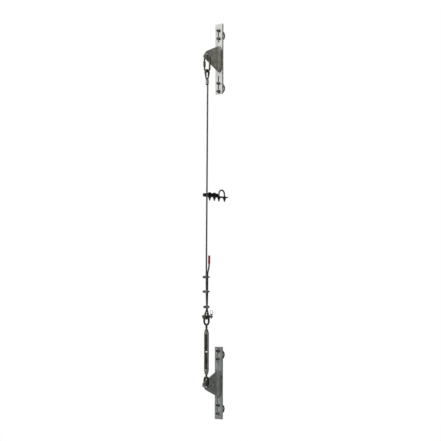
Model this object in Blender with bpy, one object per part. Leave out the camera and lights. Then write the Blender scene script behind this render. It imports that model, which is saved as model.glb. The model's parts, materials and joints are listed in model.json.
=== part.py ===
"""Fixed cable lifeline for a ladder: two clamped brackets, a wire rope between them with a
carabiner at the top and a turnbuckle at the bottom, and a cable guide halfway.

Metres, +Z up. X runs along the rungs, -Y points to the climber. The origin lies on the rear
face of the top backbone, midway between the two rungs that it is clamped to.
"""

import math

import bmesh
import bpy
from mathutils import Vector

for item in list(bpy.data.objects):
    bpy.data.objects.remove(item, do_unlink=True)

# Driving dimensions ----------------------------------------------------------------------
RUNG_PITCH = 0.3048
RUNG_RADIUS = 0.016
GAP = 0.0003            # clearance between touching pieces

BAR_WIDTH = 0.055
BAR_THICKNESS = 0.0095
BAR_LENGTH = 0.406
TOP_BAR_Z = 0.013
BOTTOM_BAR_Z = -1.834
SLOT_WIDTH = 0.011
SLOT_REACH = 0.033      # from a rung's centre to the slot's end towards the bar's end
SLOT_RUNS = (0.044, 0.066)   # the upper and the lower slot's reach towards the bar's middle

CABLE_Y = -0.1055       # line of pull, in front of the backbones' rear faces
CABLE_RADIUS = 0.00475
PAIR = CABLE_RADIUS + GAP / 2   # half the spacing of two ropes lying side by side
PAIR_SHIFT = 0.003      # the clipped pair sits this far behind the line of pull

TOP_GUSSET_Z = 0.012    # middle of each gusset's root
BOTTOM_GUSSET_Z = -1.836
GUSSET_HALF_HEIGHT = 0.074
GUSSET_THICKNESS = 0.006
GUSSET_BEND = 0.011     # inside bend radius
FOOT_EDGE = 0.0225
FOOT_CORNER = (0.0125, 0.025)   # width and height cut off the foot's corners
WELD_RADIUS = 0.0019
TOP_HOLE_RISE = 0.009   # hole centre from the middle of the root, away from the cable
TOP_HOLE_RADIUS = 0.0075
BOTTOM_HOLE_RISE = 0.0105
BOTTOM_HOLE_RADIUS = 0.009

UBOLT_ROD = 0.00475
UBOLT_SPREAD = 0.023    # half the spacing of the legs
NUT_FLATS = 0.016
NUT_HEIGHT = 0.0085
WASHER_THICKNESS = 0.002

LINK_ROD = 0.00525      # carabiner stock radius
LINK_TOP_RADIUS = 0.0215
LINK_BOTTOM_RADIUS = 0.020
LINK_LENGTH = 0.0938    # between the centrelines of the two ends
GATE_RADIUS = 0.0045
GATE_START = 0.005      # hinge pin, along the gate limb from the bottom bend
GATE_END = 0.049
SLEEVE_RADIUS = 0.0075
SLEEVE_LENGTH = 0.031
SLEEVE_START = 0.0075    # sleeve's lower end, from the hinge pin

EYE_RADIUS = 0.016      # rope centreline around each thimble
THIMBLE_DEPTH = 0.0068  # rope centreline to the thimble's inner surface
FERRULE_TOP = -0.121
FERRULE_LENGTH = 0.025

CLIP_HEIGHTS = (-1.2385, -1.320, -1.406)
CLIP_TWISTS = (0.0, 8.0, 30.0)      # degrees about the rope
EYE_TURN = 10.0         # the bottom eye faces this way
JAW_TURN = 20.0         # the upper jaw faces this way
CLIP_ROD = 0.004
CLIP_SPREAD = 0.0102
CLIP_HALF_HEIGHT = 0.0072
CLIP_FRONT = -0.0125    # front face of a saddle, from the middle of the pair
CLIP_LEG_END = -0.0222
CLIP_NUT_FLATS = 0.013
CLIP_NUT_HEIGHT = 0.0065
CAP_LOW = -1.165
CAP_HIGH = -1.115

PIN_RADIUS = 0.00635
PIN_HEAD = -0.0248      # ends of a jaw pin along its axis
PIN_TIP = 0.0365
LINCH_X = 0.0300        # where the linch pin crosses the jaw pin
LINCH_RADIUS = 0.00265
LINCH_PIVOT = 0.0112    # its ring's pivot, above the jaw pin's axis
RING_WIRE = 0.00115
UPPER_PIN_Z = -1.460
ROD_RADIUS = 0.00635    # threaded rods of the turnbuckle
BODY_Z = -1.6565
BODY_HALF = 0.1135
BOSS_LENGTH = 0.017
BOSS_RADIUS = 0.0125
SIDE_BAR_X = 0.0124
JAW_CROTCH = 0.0405
JAW_BASE = 0.0485
JAW_INSIDE = 0.0108
JAW_OUTSIDE = 0.0168
JAW_HALF_DEPTH = 0.0085
JAW_EYE_RADIUS = 0.0105   # around the pin hole of each leg
JAM_FLATS = 0.019
JAM_HEIGHT = 0.010

ARM_TOP = -0.762 - RUNG_RADIUS - GAP
ARM_THICKNESS = 0.006
ARM_FRONT = -0.099
ARM_REAR = 0.052
ARM_HALF_WIDTH = 0.019
BLOCK_FRONT = -0.1185
BLOCK_REAR = -0.031
BLOCK_HALF_WIDTH = 0.022
BLOCK_TOP = -0.7655
BLOCK_BOTTOM = ARM_TOP - ARM_THICKNESS
GUIDE_BOLTS = (-0.082, -0.044)
BOLT_RADIUS = 0.00475
GUIDE_NUT_FLATS = 0.0145

ROUND_SIDES = 20
ROD_SIDES = 12
NUT_SIDES = 12


def rung_z(number):
    """Height of a rung's centre; rung 1 is the highest."""
    return RUNG_PITCH * (1.5 - number)


BAR_FRONT = -BAR_THICKNESS
BOTTOM_HOLE_Z = BOTTOM_GUSSET_Z - BOTTOM_HOLE_RISE
LOWER_PIN_Z = BOTTOM_HOLE_Z + BOTTOM_HOLE_RADIUS - PIN_RADIUS - GAP
TOP_HOLE_Z = TOP_GUSSET_Z + TOP_HOLE_RISE
LINK_TOP_Z = TOP_HOLE_Z - TOP_HOLE_RADIUS + LINK_ROD + GAP
LINK_BOTTOM_Z = LINK_TOP_Z - LINK_LENGTH
TOP_EYE_Z = LINK_BOTTOM_Z + LINK_ROD + GAP + THIMBLE_DEPTH - EYE_RADIUS
BOTTOM_EYE_Z = UPPER_PIN_Z - PIN_RADIUS - GAP - THIMBLE_DEPTH + EYE_RADIUS
FERRULE_BOTTOM = FERRULE_TOP - FERRULE_LENGTH
EYE_LENGTH = TOP_EYE_Z - FERRULE_TOP - 0.003


# Materials -------------------------------------------------------------------------------
def surface(name, colour, roughness, metallic):
    """A Principled material."""
    material = bpy.data.materials.new(name)
    material.use_nodes = True
    shader = material.node_tree.nodes["Principled BSDF"]
    shader.inputs["Base Color"].default_value = (*colour, 1.0)
    shader.inputs["Roughness"].default_value = roughness
    shader.inputs["Metallic"].default_value = metallic
    material.diffuse_color = (*colour, 1.0)
    return material


BRIGHT_ZINC = surface("bright_zinc", (0.70, 0.71, 0.71), 0.42, 0.9)
WEATHERED_ZINC = surface("weathered_zinc", (0.36, 0.38, 0.37), 0.55, 0.8)
GUSSET_STEEL = surface("gusset_steel", (0.24, 0.25, 0.25), 0.55, 0.8)
WELD_METAL = surface("weld_metal", (0.26, 0.19, 0.15), 0.70, 0.5)
THREADED_ZINC = surface("threaded_zinc", (0.42, 0.43, 0.43), 0.48, 0.9)
YELLOW_CHROMATE = surface("yellow_chromate", (0.42, 0.36, 0.15), 0.35, 0.9)
CABLE_STEEL = surface("cable_steel", (0.42, 0.43, 0.42), 0.50, 0.85)
SWAGE_METAL = surface("swage_metal", (0.62, 0.63, 0.64), 0.40, 0.9)
FORGED_STEEL = surface("forged_steel", (0.33, 0.34, 0.34), 0.55, 0.8)
BLACK_PLASTIC = surface("black_plastic", (0.015, 0.015, 0.016), 0.55, 0.0)
RED_PLASTIC = surface("red_plastic", (0.62, 0.05, 0.04), 0.45, 0.0)


# Modelling helpers -----------------------------------------------------------------------
def loft(rings, closed=False):
    """Skin equal rings of points into a bmesh, capped or joined end to start."""
    bm = bmesh.new()
    loops = [[bm.verts.new(point) for point in ring] for ring in rings]
    pairs = list(zip(loops, loops[1:]))
    if closed:
        pairs.append((loops[-1], loops[0]))
    for low, high in pairs:
        for i in range(len(low)):
            j = (i + 1) % len(low)
            bm.faces.new((low[i], low[j], high[j], high[i]))
    if not closed:
        bm.faces.new(loops[0])
        bm.faces.new(loops[-1])
    bmesh.ops.recalc_face_normals(bm, faces=bm.faces)
    return bm


def place(axis, first, second, along):
    """A point from two plane coordinates and one along the axis."""
    if axis == "X":
        return Vector((along, first, second))
    if axis == "Y":
        return Vector((first, along, second))
    return Vector((first, second, along))


def prism(axis, outline, low, high):
    """An outline extruded along an axis."""
    return loft([[place(axis, u, v, end) for u, v in outline] for end in (low, high)])


def circle(radius, sides=ROUND_SIDES, centre=(0.0, 0.0)):
    """Points around a circle."""
    turns = [2 * math.pi * i / sides for i in range(sides)]
    return [(centre[0] + radius * math.cos(t), centre[1] + radius * math.sin(t)) for t in turns]


def arc(centre, radius, start, end, steps):
    """Points along an arc, angles in degrees."""
    angles = [math.radians(start + (end - start) * i / steps) for i in range(steps + 1)]
    return [(centre[0] + radius * math.cos(a), centre[1] + radius * math.sin(a)) for a in angles]


def rounded(corners, radius, steps=5):
    """An outline with each corner turned into an arc."""
    outline = []
    for i, corner in enumerate(corners):
        here = Vector(corner)
        before = (Vector(corners[i - 1]) - here).normalized()
        after = (Vector(corners[(i + 1) % len(corners)]) - here).normalized()
        half = before.angle(after) / 2
        centre = here + (before + after).normalized() * radius / math.sin(half)
        first = here + before * radius / math.tan(half) - centre
        last = here + after * radius / math.tan(half) - centre
        swing = first.angle_signed(last)
        for k in range(steps + 1):
            turn = -swing * k / steps
            c, s = math.cos(turn), math.sin(turn)
            outline.append((centre.x + first.x * c - first.y * s,
                            centre.y + first.x * s + first.y * c))
    return outline


def rectangle(half_u, half_v, centre=(0.0, 0.0)):
    """Corners of a rectangle."""
    u, v = centre
    return [(u - half_u, v - half_v), (u + half_u, v - half_v),
            (u + half_u, v + half_v), (u - half_u, v + half_v)]


def turned(axis, profile, centre=(0.0, 0.0, 0.0), sides=ROUND_SIDES):
    """A solid of revolution from (distance along the axis, radius) pairs."""
    rings = [[Vector(centre) + place(axis, u, v, along) for u, v in circle(radius, sides)]
             for along, radius in profile]
    return loft(rings)


def frames(points, lateral):
    """Each point of a path with the side and normal directions of a section carried along it."""
    path = [Vector(point) for point in points]
    result = []
    for i, point in enumerate(path):
        ahead = path[min(i + 1, len(path) - 1)]
        behind = path[max(i - 1, 0)]
        tangent = (ahead - behind).normalized()
        normal = tangent.cross(Vector(lateral)).normalized()
        result.append((point, normal.cross(tangent), normal))
    return result


def section_ring(frame, section, size=1.0):
    """A section's points in one frame of a path."""
    point, side, normal = frame
    return [point + side * u * size + normal * v * size for u, v in section]


def sweep(points, section, lateral, sizes=None):
    """A section carried along a path, its first coordinate kept along the lateral direction."""
    sizes = sizes or [1.0] * len(points)
    return loft([section_ring(frame, section, size) for frame, size in zip(frames(points, lateral), sizes)])


def ring_solid(axis, outer, inner, low, high, centre=(0.0, 0.0, 0.0), chamfer=0.0):
    """A washer or sleeve: two concentric outlines joined end to end."""
    shrink = 1.0 - chamfer / max(math.hypot(*point) for point in outer)
    small = [(u * shrink, v * shrink) for u, v in outer]
    levels = [(inner, low), (small, low), (outer, low + chamfer),
              (outer, high - chamfer), (small, high), (inner, high)]
    if chamfer == 0.0:
        levels = [(inner, low), (outer, low), (outer, high), (inner, high)]
    rings = [[Vector(centre) + place(axis, u, v, along) for u, v in outline]
             for outline, along in levels]
    return loft(rings, closed=True)


def hexagon(flats, limit):
    """A hexagon with its corners held to a round limit."""
    outline = []
    for i in range(NUT_SIDES):
        angle = 2 * math.pi * i / NUT_SIDES
        folded = (angle + math.pi / 6) % (math.pi / 3) - math.pi / 6
        radius = min(flats / 2 / math.cos(folded), limit)
        outline.append((radius * math.cos(angle), radius * math.sin(angle)))
    return outline


def hex_nut(axis, flats, bore, low, high):
    """A hexagon nut."""
    hole = circle(bore / math.cos(math.pi / NUT_SIDES), NUT_SIDES)
    return ring_solid(axis, hexagon(flats, flats), hole, low, high)


def build(name, bm, material, origin=(0.0, 0.0, 0.0), turn=0.0):
    """An object from a bmesh; the mesh is given about the origin, turned about Z."""
    mesh = bpy.data.meshes.new(name)
    bm.to_mesh(mesh)
    bm.free()
    mesh.materials.append(material)
    mesh.shade_smooth()
    mesh.set_sharp_from_angle(angle=math.radians(32))
    result = bpy.data.objects.new(name, mesh)
    bpy.context.scene.collection.objects.link(result)
    result.location = origin
    result.rotation_euler.z = math.radians(turn)
    return result


def combine(target, bm, operation):
    """Join, cut or trim an object with another solid given about the same origin."""
    tool = build("tool", bm, target.data.materials[0])
    tool.matrix_world = target.matrix_world.copy()
    tool.location = target.location
    tool.rotation_euler = target.rotation_euler
    modifier = target.modifiers.new("combine", "BOOLEAN")
    modifier.operation = operation
    modifier.solver = "EXACT"
    modifier.object = tool
    bpy.context.view_layer.update()
    with bpy.context.temp_override(object=target, active_object=target):
        bpy.ops.object.modifier_apply(modifier=modifier.name)
    bpy.data.objects.remove(tool, do_unlink=True)
    target.data.shade_smooth()
    target.data.set_sharp_from_angle(angle=math.radians(32))


def cut(target, bm):
    """Take a solid out of an object."""
    combine(target, bm, "DIFFERENCE")


# Brackets --------------------------------------------------------------------------------
def backbone(name, centre_z, rungs, material):
    """A flat bar across two rungs, with a slot at each rung for a U-bolt's legs."""
    outline = rounded(rectangle(BAR_WIDTH / 2, BAR_LENGTH / 2, (0.0, centre_z)), 0.004)
    bar = build(name, prism("Y", outline, BAR_FRONT, 0.0), material)
    for number, run, up in zip(rungs, SLOT_RUNS, (1, -1)):
        middle = rung_z(number) + up * (SLOT_REACH - run) / 2
        slot = rounded(rectangle(SLOT_WIDTH / 2, (SLOT_REACH + run) / 2, (0.0, middle)),
                       SLOT_WIDTH / 2 - 0.0002)
        cut(bar, prism("Y", slot, BAR_FRONT - 0.002, 0.002))


def gusset(name, root_z, up, hole, material):
    """A plate bent into a foot on the backbone and a web that carries the pulling hole.

    up is 1 for the top gusset and -1 for the bottom one, which is mounted upside down; hole is
    the height and the radius of the pulling hole.
    """
    half = GUSSET_THICKNESS / 2
    back = BAR_FRONT - GAP
    front = back - GUSSET_THICKNESS
    nose = BAR_FRONT - 0.127
    bend = (half + GUSSET_BEND, front - GUSSET_BEND)
    profile = [(-half, nose - 0.004), (half, nose - 0.004)]
    profile += arc(bend, GUSSET_BEND, 180, 90, 8)
    profile += [(FOOT_EDGE, front), (FOOT_EDGE, back)]
    profile += arc(bend, GUSSET_BEND + GUSSET_THICKNESS, 90, 180, 10)
    low, high = root_z - GUSSET_HALF_HEIGHT, root_z + GUSSET_HALF_HEIGHT
    plate = build(name, prism("Z", profile, low, high), material)

    tip = [(front, GUSSET_HALF_HEIGHT), (BAR_FRONT - 0.103, 0.032), (nose, 0.002), (nose + 0.002, -0.006),
           (front, -GUSSET_HALF_HEIGHT)]
    root = [(0.004, -GUSSET_HALF_HEIGHT), (0.004, GUSSET_HALF_HEIGHT)]
    outline = [(y, root_z + up * z) for y, z in rounded(tip, 0.003) + root]
    combine(plate, prism("X", outline, -0.010, 0.030), "INTERSECT")
    hole_z, hole_radius = hole
    cut(plate, turned("X", [(-0.010, hole_radius), (0.010, hole_radius)], (0.0, CABLE_Y, hole_z), sides=32))
    width, height = FOOT_CORNER
    for edge, inward in ((high, -1), (low, 1)):
        corner = [(FOOT_EDGE - width, edge), (FOOT_EDGE - width, edge - inward * 0.002),
                  (FOOT_EDGE + 0.002, edge - inward * 0.002), (FOOT_EDGE + 0.002, edge + inward * height),
                  (FOOT_EDGE, edge + inward * height)]
        cut(plate, prism("Y", corner, front - 0.016, back + 0.002))


def weld_bead(name, root_z):
    """The rippled weld of a gusset: down the groove behind its bend, under its foot and up its edge."""
    top, bottom = root_z + GUSSET_HALF_HEIGHT, root_z - GUSSET_HALF_HEIGHT
    groove = Vector((-0.0010, BAR_FRONT - 0.0035, top - 0.006))
    corner_width, corner_height = FOOT_CORNER
    edge = Vector((FOOT_EDGE + 0.0023, BAR_FRONT - 0.0024, top - corner_height - 0.003))
    floor = bottom - 0.0025
    corners = [groove, Vector((groove.x, groove.y, floor)),
               Vector((FOOT_EDGE - corner_width + 0.0014, edge.y, floor)),
               Vector((edge.x, edge.y, bottom + corner_height - 0.0007)), edge]
    path, sizes = [], []
    for start, end, width in zip(corners, corners[1:], (1.45, 1.0, 1.0, 1.0)):
        steps = round((end - start).length / 0.009)
        path += [start.lerp(end, i / steps) for i in range(steps)]
        sizes += [width * (1.0 + 0.06 * math.sin(i * 2.3)) for i in range(steps)]
    path.append(edge)
    sizes.append(0.5)
    build(name, sweep(path, circle(WELD_RADIUS, 6), (0, 1, 0), sizes), WELD_METAL)


def u_bolt(name, start, legs, end, material):
    """A U-bolt bent around a rung: legs along one direction, in the plane X = 0.

    start is the middle of the bend, legs the direction of the legs and end their length.
    """
    along = Vector(legs)
    across = along.cross(Vector((1, 0, 0)))
    middle = Vector(start)
    turns = [math.pi * i / 12 for i in range(13)]
    bend = [middle - along * UBOLT_SPREAD * math.sin(t) + across * UBOLT_SPREAD * math.cos(t) for t in turns]
    reach = [0.0, 0.0012]
    first = [middle + across * UBOLT_SPREAD + along * (end - d) for d in reach]
    last = [middle - across * UBOLT_SPREAD + along * (end - d) for d in reversed(reach)]
    points = first + bend + last
    sizes = [0.76] + [1.0] * (len(points) - 2) + [0.76]
    build(name, sweep(points, circle(UBOLT_ROD, ROD_SIDES), (1, 0, 0), sizes), material)


def clamp_nuts(prefix, rungs):
    """The nuts on the legs of a bracket's two U-bolts, each on its washer's place."""
    back = BAR_FRONT - WASHER_THICKNESS - 2 * GAP
    legs = [rung_z(number) + side * UBOLT_SPREAD for number in rungs for side in (1, -1)]
    for number, z in enumerate(legs, start=1):
        nut = hex_nut("Y", NUT_FLATS, UBOLT_ROD + GAP, back - NUT_HEIGHT, back)
        build(f"{prefix}_ubolt_nut_{number}", nut, THREADED_ZINC, (0, 0, z))


def bracket(prefix, bar_z, rungs, root_z, up, hole, bar_material, gusset_material):
    """One end bracket with everything that clamps it to its two rungs."""
    backbone(prefix + "_backbone", bar_z, rungs, bar_material)
    gusset(prefix + "_gusset", root_z, up, hole, gusset_material)
    weld_bead(prefix + "_weld_bead", root_z)
    bend_y = 2 * RUNG_RADIUS + GAP - (UBOLT_SPREAD - UBOLT_ROD)
    for number, label in zip(rungs, ("upper", "lower")):
        u_bolt(f"{prefix}_ubolt_{label}", (0, bend_y, rung_z(number)), (0, -1, 0),
               bend_y + 0.028, bar_material)
    clamp_nuts(prefix, rungs)


# Carabiner -------------------------------------------------------------------------------
TAPER = math.asin((LINK_TOP_RADIUS - LINK_BOTTOM_RADIUS)
                  / (LINK_LENGTH - LINK_TOP_RADIUS - LINK_BOTTOM_RADIUS))
LIMB_UP = Vector((-math.sin(TAPER), 0.0, math.cos(TAPER)))
LIMB_IN = Vector((math.cos(TAPER), 0.0, math.sin(TAPER)))
LIMB_START = Vector((0.0, CABLE_Y, LINK_BOTTOM_Z + LINK_BOTTOM_RADIUS)) - LIMB_IN * LINK_BOTTOM_RADIUS
GATE_PIN = LIMB_START + LIMB_UP * GATE_START
GATE_LENGTH = GATE_END - GATE_START


def limb_box(low, high, half_in, near, far):
    """A box on the gate limb: low to high along it from the hinge pin, near to far across Y."""
    rings = []
    for along in (low, high):
        rings.append([LIMB_UP * along + LIMB_IN * u + Vector((0, v, 0))
                      for u, v in ((-half_in, near), (half_in, near), (half_in, far), (-half_in, far))])
    return loft(rings)


def carabiner():
    """The pear-shaped link: body, gate, gate pin and locking sleeve."""
    angle = math.degrees(TAPER)
    low = arc((0.0, LINK_BOTTOM_Z + LINK_BOTTOM_RADIUS), LINK_BOTTOM_RADIUS, 180 + angle, 360 - angle, 14)
    high = arc((0.0, LINK_TOP_Z - LINK_TOP_RADIUS), LINK_TOP_RADIUS, -angle, 180 + angle, 18)
    hinge_end = GATE_PIN + LIMB_UP * 0.0045
    nose_root = LIMB_START + LIMB_UP * (GATE_END + 0.0035)
    nose_end = LIMB_START + LIMB_UP * (GATE_END + 0.0004)
    ring = [Vector((x, CABLE_Y, z)) for x, z in low + high]
    points = [hinge_end] + ring + [nose_root, nose_end]
    sizes = [1.0] * len(points)
    sizes[-2:] = [GATE_RADIUS / LINK_ROD, GATE_RADIUS / LINK_ROD * 0.93]
    local = [point - GATE_PIN for point in points]
    body = build("carabiner_body", sweep(local, circle(LINK_ROD, ROD_SIDES), (0, 1, 0), sizes),
                 YELLOW_CHROMATE, GATE_PIN)
    for side in (-1, 1):
        cut(body, limb_box(-0.0056, 0.009, 0.010, side * 0.0023, side * 0.010))
    tang = limb_box(GATE_LENGTH - 0.0036, GATE_LENGTH + 0.0015, 0.0022, -0.0014, 0.0014)
    combine(body, tang, "UNION")
    cut(body, turned("Y", [(-0.008, 0.0018), (0.008, 0.0018)], sides=16))

    gate_points = [LIMB_UP * s for s in (-0.0043, -0.0030, 0.0, GATE_LENGTH - 0.0008, GATE_LENGTH)]
    gate_sizes = [0.55, 0.88, 1.0, 1.0, 0.86]
    gate = build("carabiner_gate", sweep(gate_points, circle(GATE_RADIUS, ROD_SIDES), (0, 1, 0), gate_sizes),
                 YELLOW_CHROMATE, GATE_PIN)
    cut(gate, limb_box(-0.010, 0.0075, 0.010, -0.0026, 0.0026))
    cut(gate, limb_box(GATE_LENGTH - 0.0042, GATE_LENGTH + 0.002, 0.010, -0.0018, 0.0018))
    cut(gate, turned("Y", [(-0.008, 0.0018), (0.008, 0.0018)], sides=16))

    pin = [(-0.0050, 0.0011), (-0.0047, 0.0015), (0.0047, 0.0015), (0.0050, 0.0011)]
    build("carabiner_gate_pin", turned("Y", pin, sides=16), YELLOW_CHROMATE, GATE_PIN)

    levels = [(0.0, GATE_RADIUS + GAP), (0.0, SLEEVE_RADIUS - 0.0008), (0.0008, SLEEVE_RADIUS),
              (SLEEVE_LENGTH - 0.0008, SLEEVE_RADIUS), (SLEEVE_LENGTH, SLEEVE_RADIUS - 0.0008),
              (SLEEVE_LENGTH, GATE_RADIUS + GAP)]
    rings = [[LIMB_UP * along + LIMB_IN * u + Vector((0, v, 0)) for u, v in circle(radius)]
             for along, radius in levels]
    build("carabiner_lock_sleeve", loft(rings, closed=True), YELLOW_CHROMATE,
          GATE_PIN + LIMB_UP * SLEEVE_START)


# Wire rope -------------------------------------------------------------------------------
def eased(share):
    """A share from 0 to 1 with a gentle start and end."""
    share = min(max(share, 0.0), 1.0)
    return share * share * (3 - 2 * share)


def eye_half_width(drop):
    """Half width of a rope eye at a distance from the centre of its round crown."""
    share = drop / EYE_LENGTH
    return PAIR + (EYE_RADIUS - PAIR) * (1 - share ** 1.5) * (1 - 0.25 * share)


def eye_route(centre_z, up, turn, twist, shift, reach, steps=8):
    """Rope centreline of an eye, from its front leg over the crown to its rear leg.

    turn is the angle of the eye about the line of pull, twist the angle that its legs come to at
    their ends, and shift how far they end behind that line.
    """
    drops = [reach * i / steps for i in range(steps, 0, -1)]
    front = [(-eye_half_width(d), -d) for d in drops]
    rear = [(eye_half_width(d), -d) for d in reversed(drops)]
    crown = arc((0, 0), EYE_RADIUS, 180, 0, 12)
    route = []
    for offset, rise in front + crown + rear:
        share = -rise / EYE_LENGTH
        angle = turn + (twist - turn) * eased((share - 0.5) / 0.5)
        route.append(beside(offset, centre_z + up * rise, angle) + Vector((0, shift * eased(share), 0)))
    return route


def beside(offset, z, turn):
    """A point at an offset from the line of pull, in a vertical plane turned from the YZ plane."""
    angle = math.radians(turn)
    return Vector((-offset * math.sin(angle), CABLE_Y + offset * math.cos(angle), z))


def pair_twist(z):
    """How far the clipped pair of ropes is turned at a height, in degrees, eased between clips."""
    stations = list(zip(CLIP_HEIGHTS, CLIP_TWISTS))
    for (high, before), (low, after) in zip(stations, stations[1:]):
        if z >= low:
            return before + (after - before) * eased((high - z) / (high - low))
    return stations[-1][1]


def paired(z, side):
    """Centre of the front (-1) or rear (1) rope of the clipped pair at a height."""
    return beside(side * PAIR, z, pair_twist(z)) + Vector((0, PAIR_SHIFT, 0))


def cable_route():
    """The rope from its swaged tail, over the top eye, down to the bottom eye and back up."""
    top = eye_route(TOP_EYE_Z, 1, 0.0, 0.0, 0.0, EYE_LENGTH)
    bottom = eye_route(BOTTOM_EYE_Z, -1, EYE_TURN, CLIP_TWISTS[-1], PAIR_SHIFT, EYE_LENGTH)
    tail = [Vector((0, CABLE_Y - PAIR, z)) for z in (FERRULE_BOTTOM - 0.004, FERRULE_TOP - 0.02)]

    leave = FERRULE_BOTTOM - 0.005
    arrive = CLIP_HEIGHTS[0] + 0.075
    lead = [Vector((0, CABLE_Y + PAIR, FERRULE_TOP - 0.02)), Vector((0, CABLE_Y + PAIR, leave))]
    steps = 12
    span = []
    for i in range(1, steps):
        share = i / steps
        offset = PAIR * (1 - 2 * share) + PAIR_SHIFT * share
        span.append(Vector((0, CABLE_Y + offset, leave + (arrive - leave) * share)))

    foot = BOTTOM_EYE_Z + EYE_LENGTH
    count = round((arrive - foot) / 0.014)
    heights = [arrive + (foot - arrive) * i / count for i in range(count)]
    live = [paired(z, -1) for z in heights]
    dead = []
    release = CLIP_HEIGHTS[0] + 0.016
    for z in reversed([z for z in heights if z < release]):
        dead.append(paired(z, 1))
    start = dead[-1]
    rise = CAP_HIGH - 0.004 - start.z
    for i in range(1, 12):
        share = i / 11
        lean = 0.0115 * eased(share / 0.5) + 0.001 * share
        dead.append(start + Vector((0, lean, rise * share)))
    return tail + top + lead + span + live + bottom + dead


def lifeline():
    """The wire rope with its thimbles, swaged ferrule, end cap and rope clips."""
    route = cable_route()
    rope = sweep(route, circle(CABLE_RADIUS, 8), (1, 0, 0))
    build("lifeline_cable", rope, CABLE_STEEL)

    inner, outer = CABLE_RADIUS + GAP, THIMBLE_DEPTH
    reach = EYE_LENGTH * 0.45
    for name, centre_z, up, turn, shift in (("top_thimble", TOP_EYE_Z, 1, 0.0, 0.0),
                                            ("bottom_thimble", BOTTOM_EYE_Z, -1, EYE_TURN, PAIR_SHIFT)):
        inward = [(u, -v) for u, v in arc((0, 0), outer, 0, 180, 6) + arc((0, 0), inner, 180, 0, 6)]
        section = [(u, v * -up) for u, v in inward]
        side = (math.cos(math.radians(turn)), math.sin(math.radians(turn)), 0)
        route_part = eye_route(centre_z, up, turn, turn, shift, reach, 4)
        build(name, sweep(route_part, section, side), BRIGHT_ZINC)

    bore = capsule(CABLE_RADIUS + GAP)
    shell = capsule(CABLE_RADIUS + 0.0026)
    ferrule = ring_solid("Z", shell, bore, FERRULE_BOTTOM, FERRULE_TOP, (0, CABLE_Y, 0), 0.0012)
    build("top_ferrule", ferrule, SWAGE_METAL)

    for number, (height, twist) in enumerate(zip(CLIP_HEIGHTS, CLIP_TWISTS), start=1):
        rope_clip(f"clip{number}", height, twist)
    end_cap(route)


def capsule(radius, steps=8):
    """Outline around the pair of ropes, lying side by side along Y."""
    return (arc((0, PAIR), radius, 0, 180, steps) + arc((0, -PAIR), radius, 180, 360, steps))


def rope_clip(name, height, twist):
    """A wire rope clip: U-bolt around the dead rope, saddle on the live one, two nuts."""
    origin = Vector((0, CABLE_Y + PAIR_SHIFT, height))
    bend_y = PAIR + CABLE_RADIUS + GAP + CLIP_ROD - CLIP_SPREAD
    bend = arc((0, bend_y), CLIP_SPREAD, 0, 180, 12)
    legs = (CLIP_LEG_END, CLIP_LEG_END + 0.001)
    path = [(CLIP_SPREAD, y) for y in legs] + bend + [(-CLIP_SPREAD, y) for y in reversed(legs)]
    sizes = [0.76] + [1.0] * (len(path) - 2) + [0.76]
    bow = sweep([(x, y, 0) for x, y in path], circle(CLIP_ROD, 10), (0, 0, 1), sizes)
    build(name + "_ubolt", bow, THREADED_ZINC, origin, twist)

    back = -PAIR - 0.0008
    half_width = CLIP_SPREAD + CLIP_ROD + 0.0022
    outline = rounded(rectangle(half_width, (back - CLIP_FRONT) / 2, (0, (back + CLIP_FRONT) / 2)), 0.002, 3)
    block_shape = prism("Z", outline, -CLIP_HALF_HEIGHT, CLIP_HALF_HEIGHT)
    saddle = build(name + "_saddle", block_shape, FORGED_STEEL, origin, twist)
    seat = circle(CABLE_RADIUS + GAP, ROUND_SIDES, (0, -PAIR))
    cut(saddle, prism("Z", seat, -0.014, 0.014))
    for side in (-1, 1):
        hole = turned("Y", [(-0.020, CLIP_ROD + GAP), (0.0, CLIP_ROD + GAP)], (side * CLIP_SPREAD, 0, 0))
        cut(saddle, hole)

    turn = math.radians(twist)
    nut_back = CLIP_FRONT - GAP
    for side, label in ((-1, "left"), (1, "right")):
        nut = hex_nut("Y", CLIP_NUT_FLATS, CLIP_ROD + GAP, nut_back - CLIP_NUT_HEIGHT, nut_back)
        spot = side * CLIP_SPREAD * Vector((math.cos(turn), math.sin(turn), 0))
        build(f"{name}_nut_{label}", nut, THREADED_ZINC, origin + spot, twist)


def end_cap(route):
    """The plastic cap over the dead end's strands: a cup that follows the rope."""
    covered = [point for point in route[-12:] if point.z >= CAP_LOW]
    onward = (covered[-1] - covered[-2]).normalized()
    covered.append(covered[-1] + onward * 0.0006)
    inner = circle(CABLE_RADIUS + GAP, 12)
    outer = circle(CABLE_RADIUS + 0.0018, 12)
    stations = frames(covered, (1, 0, 0))
    point, side, normal = stations[-1]
    rings = [section_ring(station, inner) for station in reversed(stations)]
    rings += [section_ring(station, outer) for station in stations]
    rings += [section_ring((point + onward * rise, side, normal), outer, size)
              for rise, size in ((0.0018, 0.86), (0.0028, 0.45))]
    build("cable_end_cap", loft(rings), RED_PLASTIC)


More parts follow.
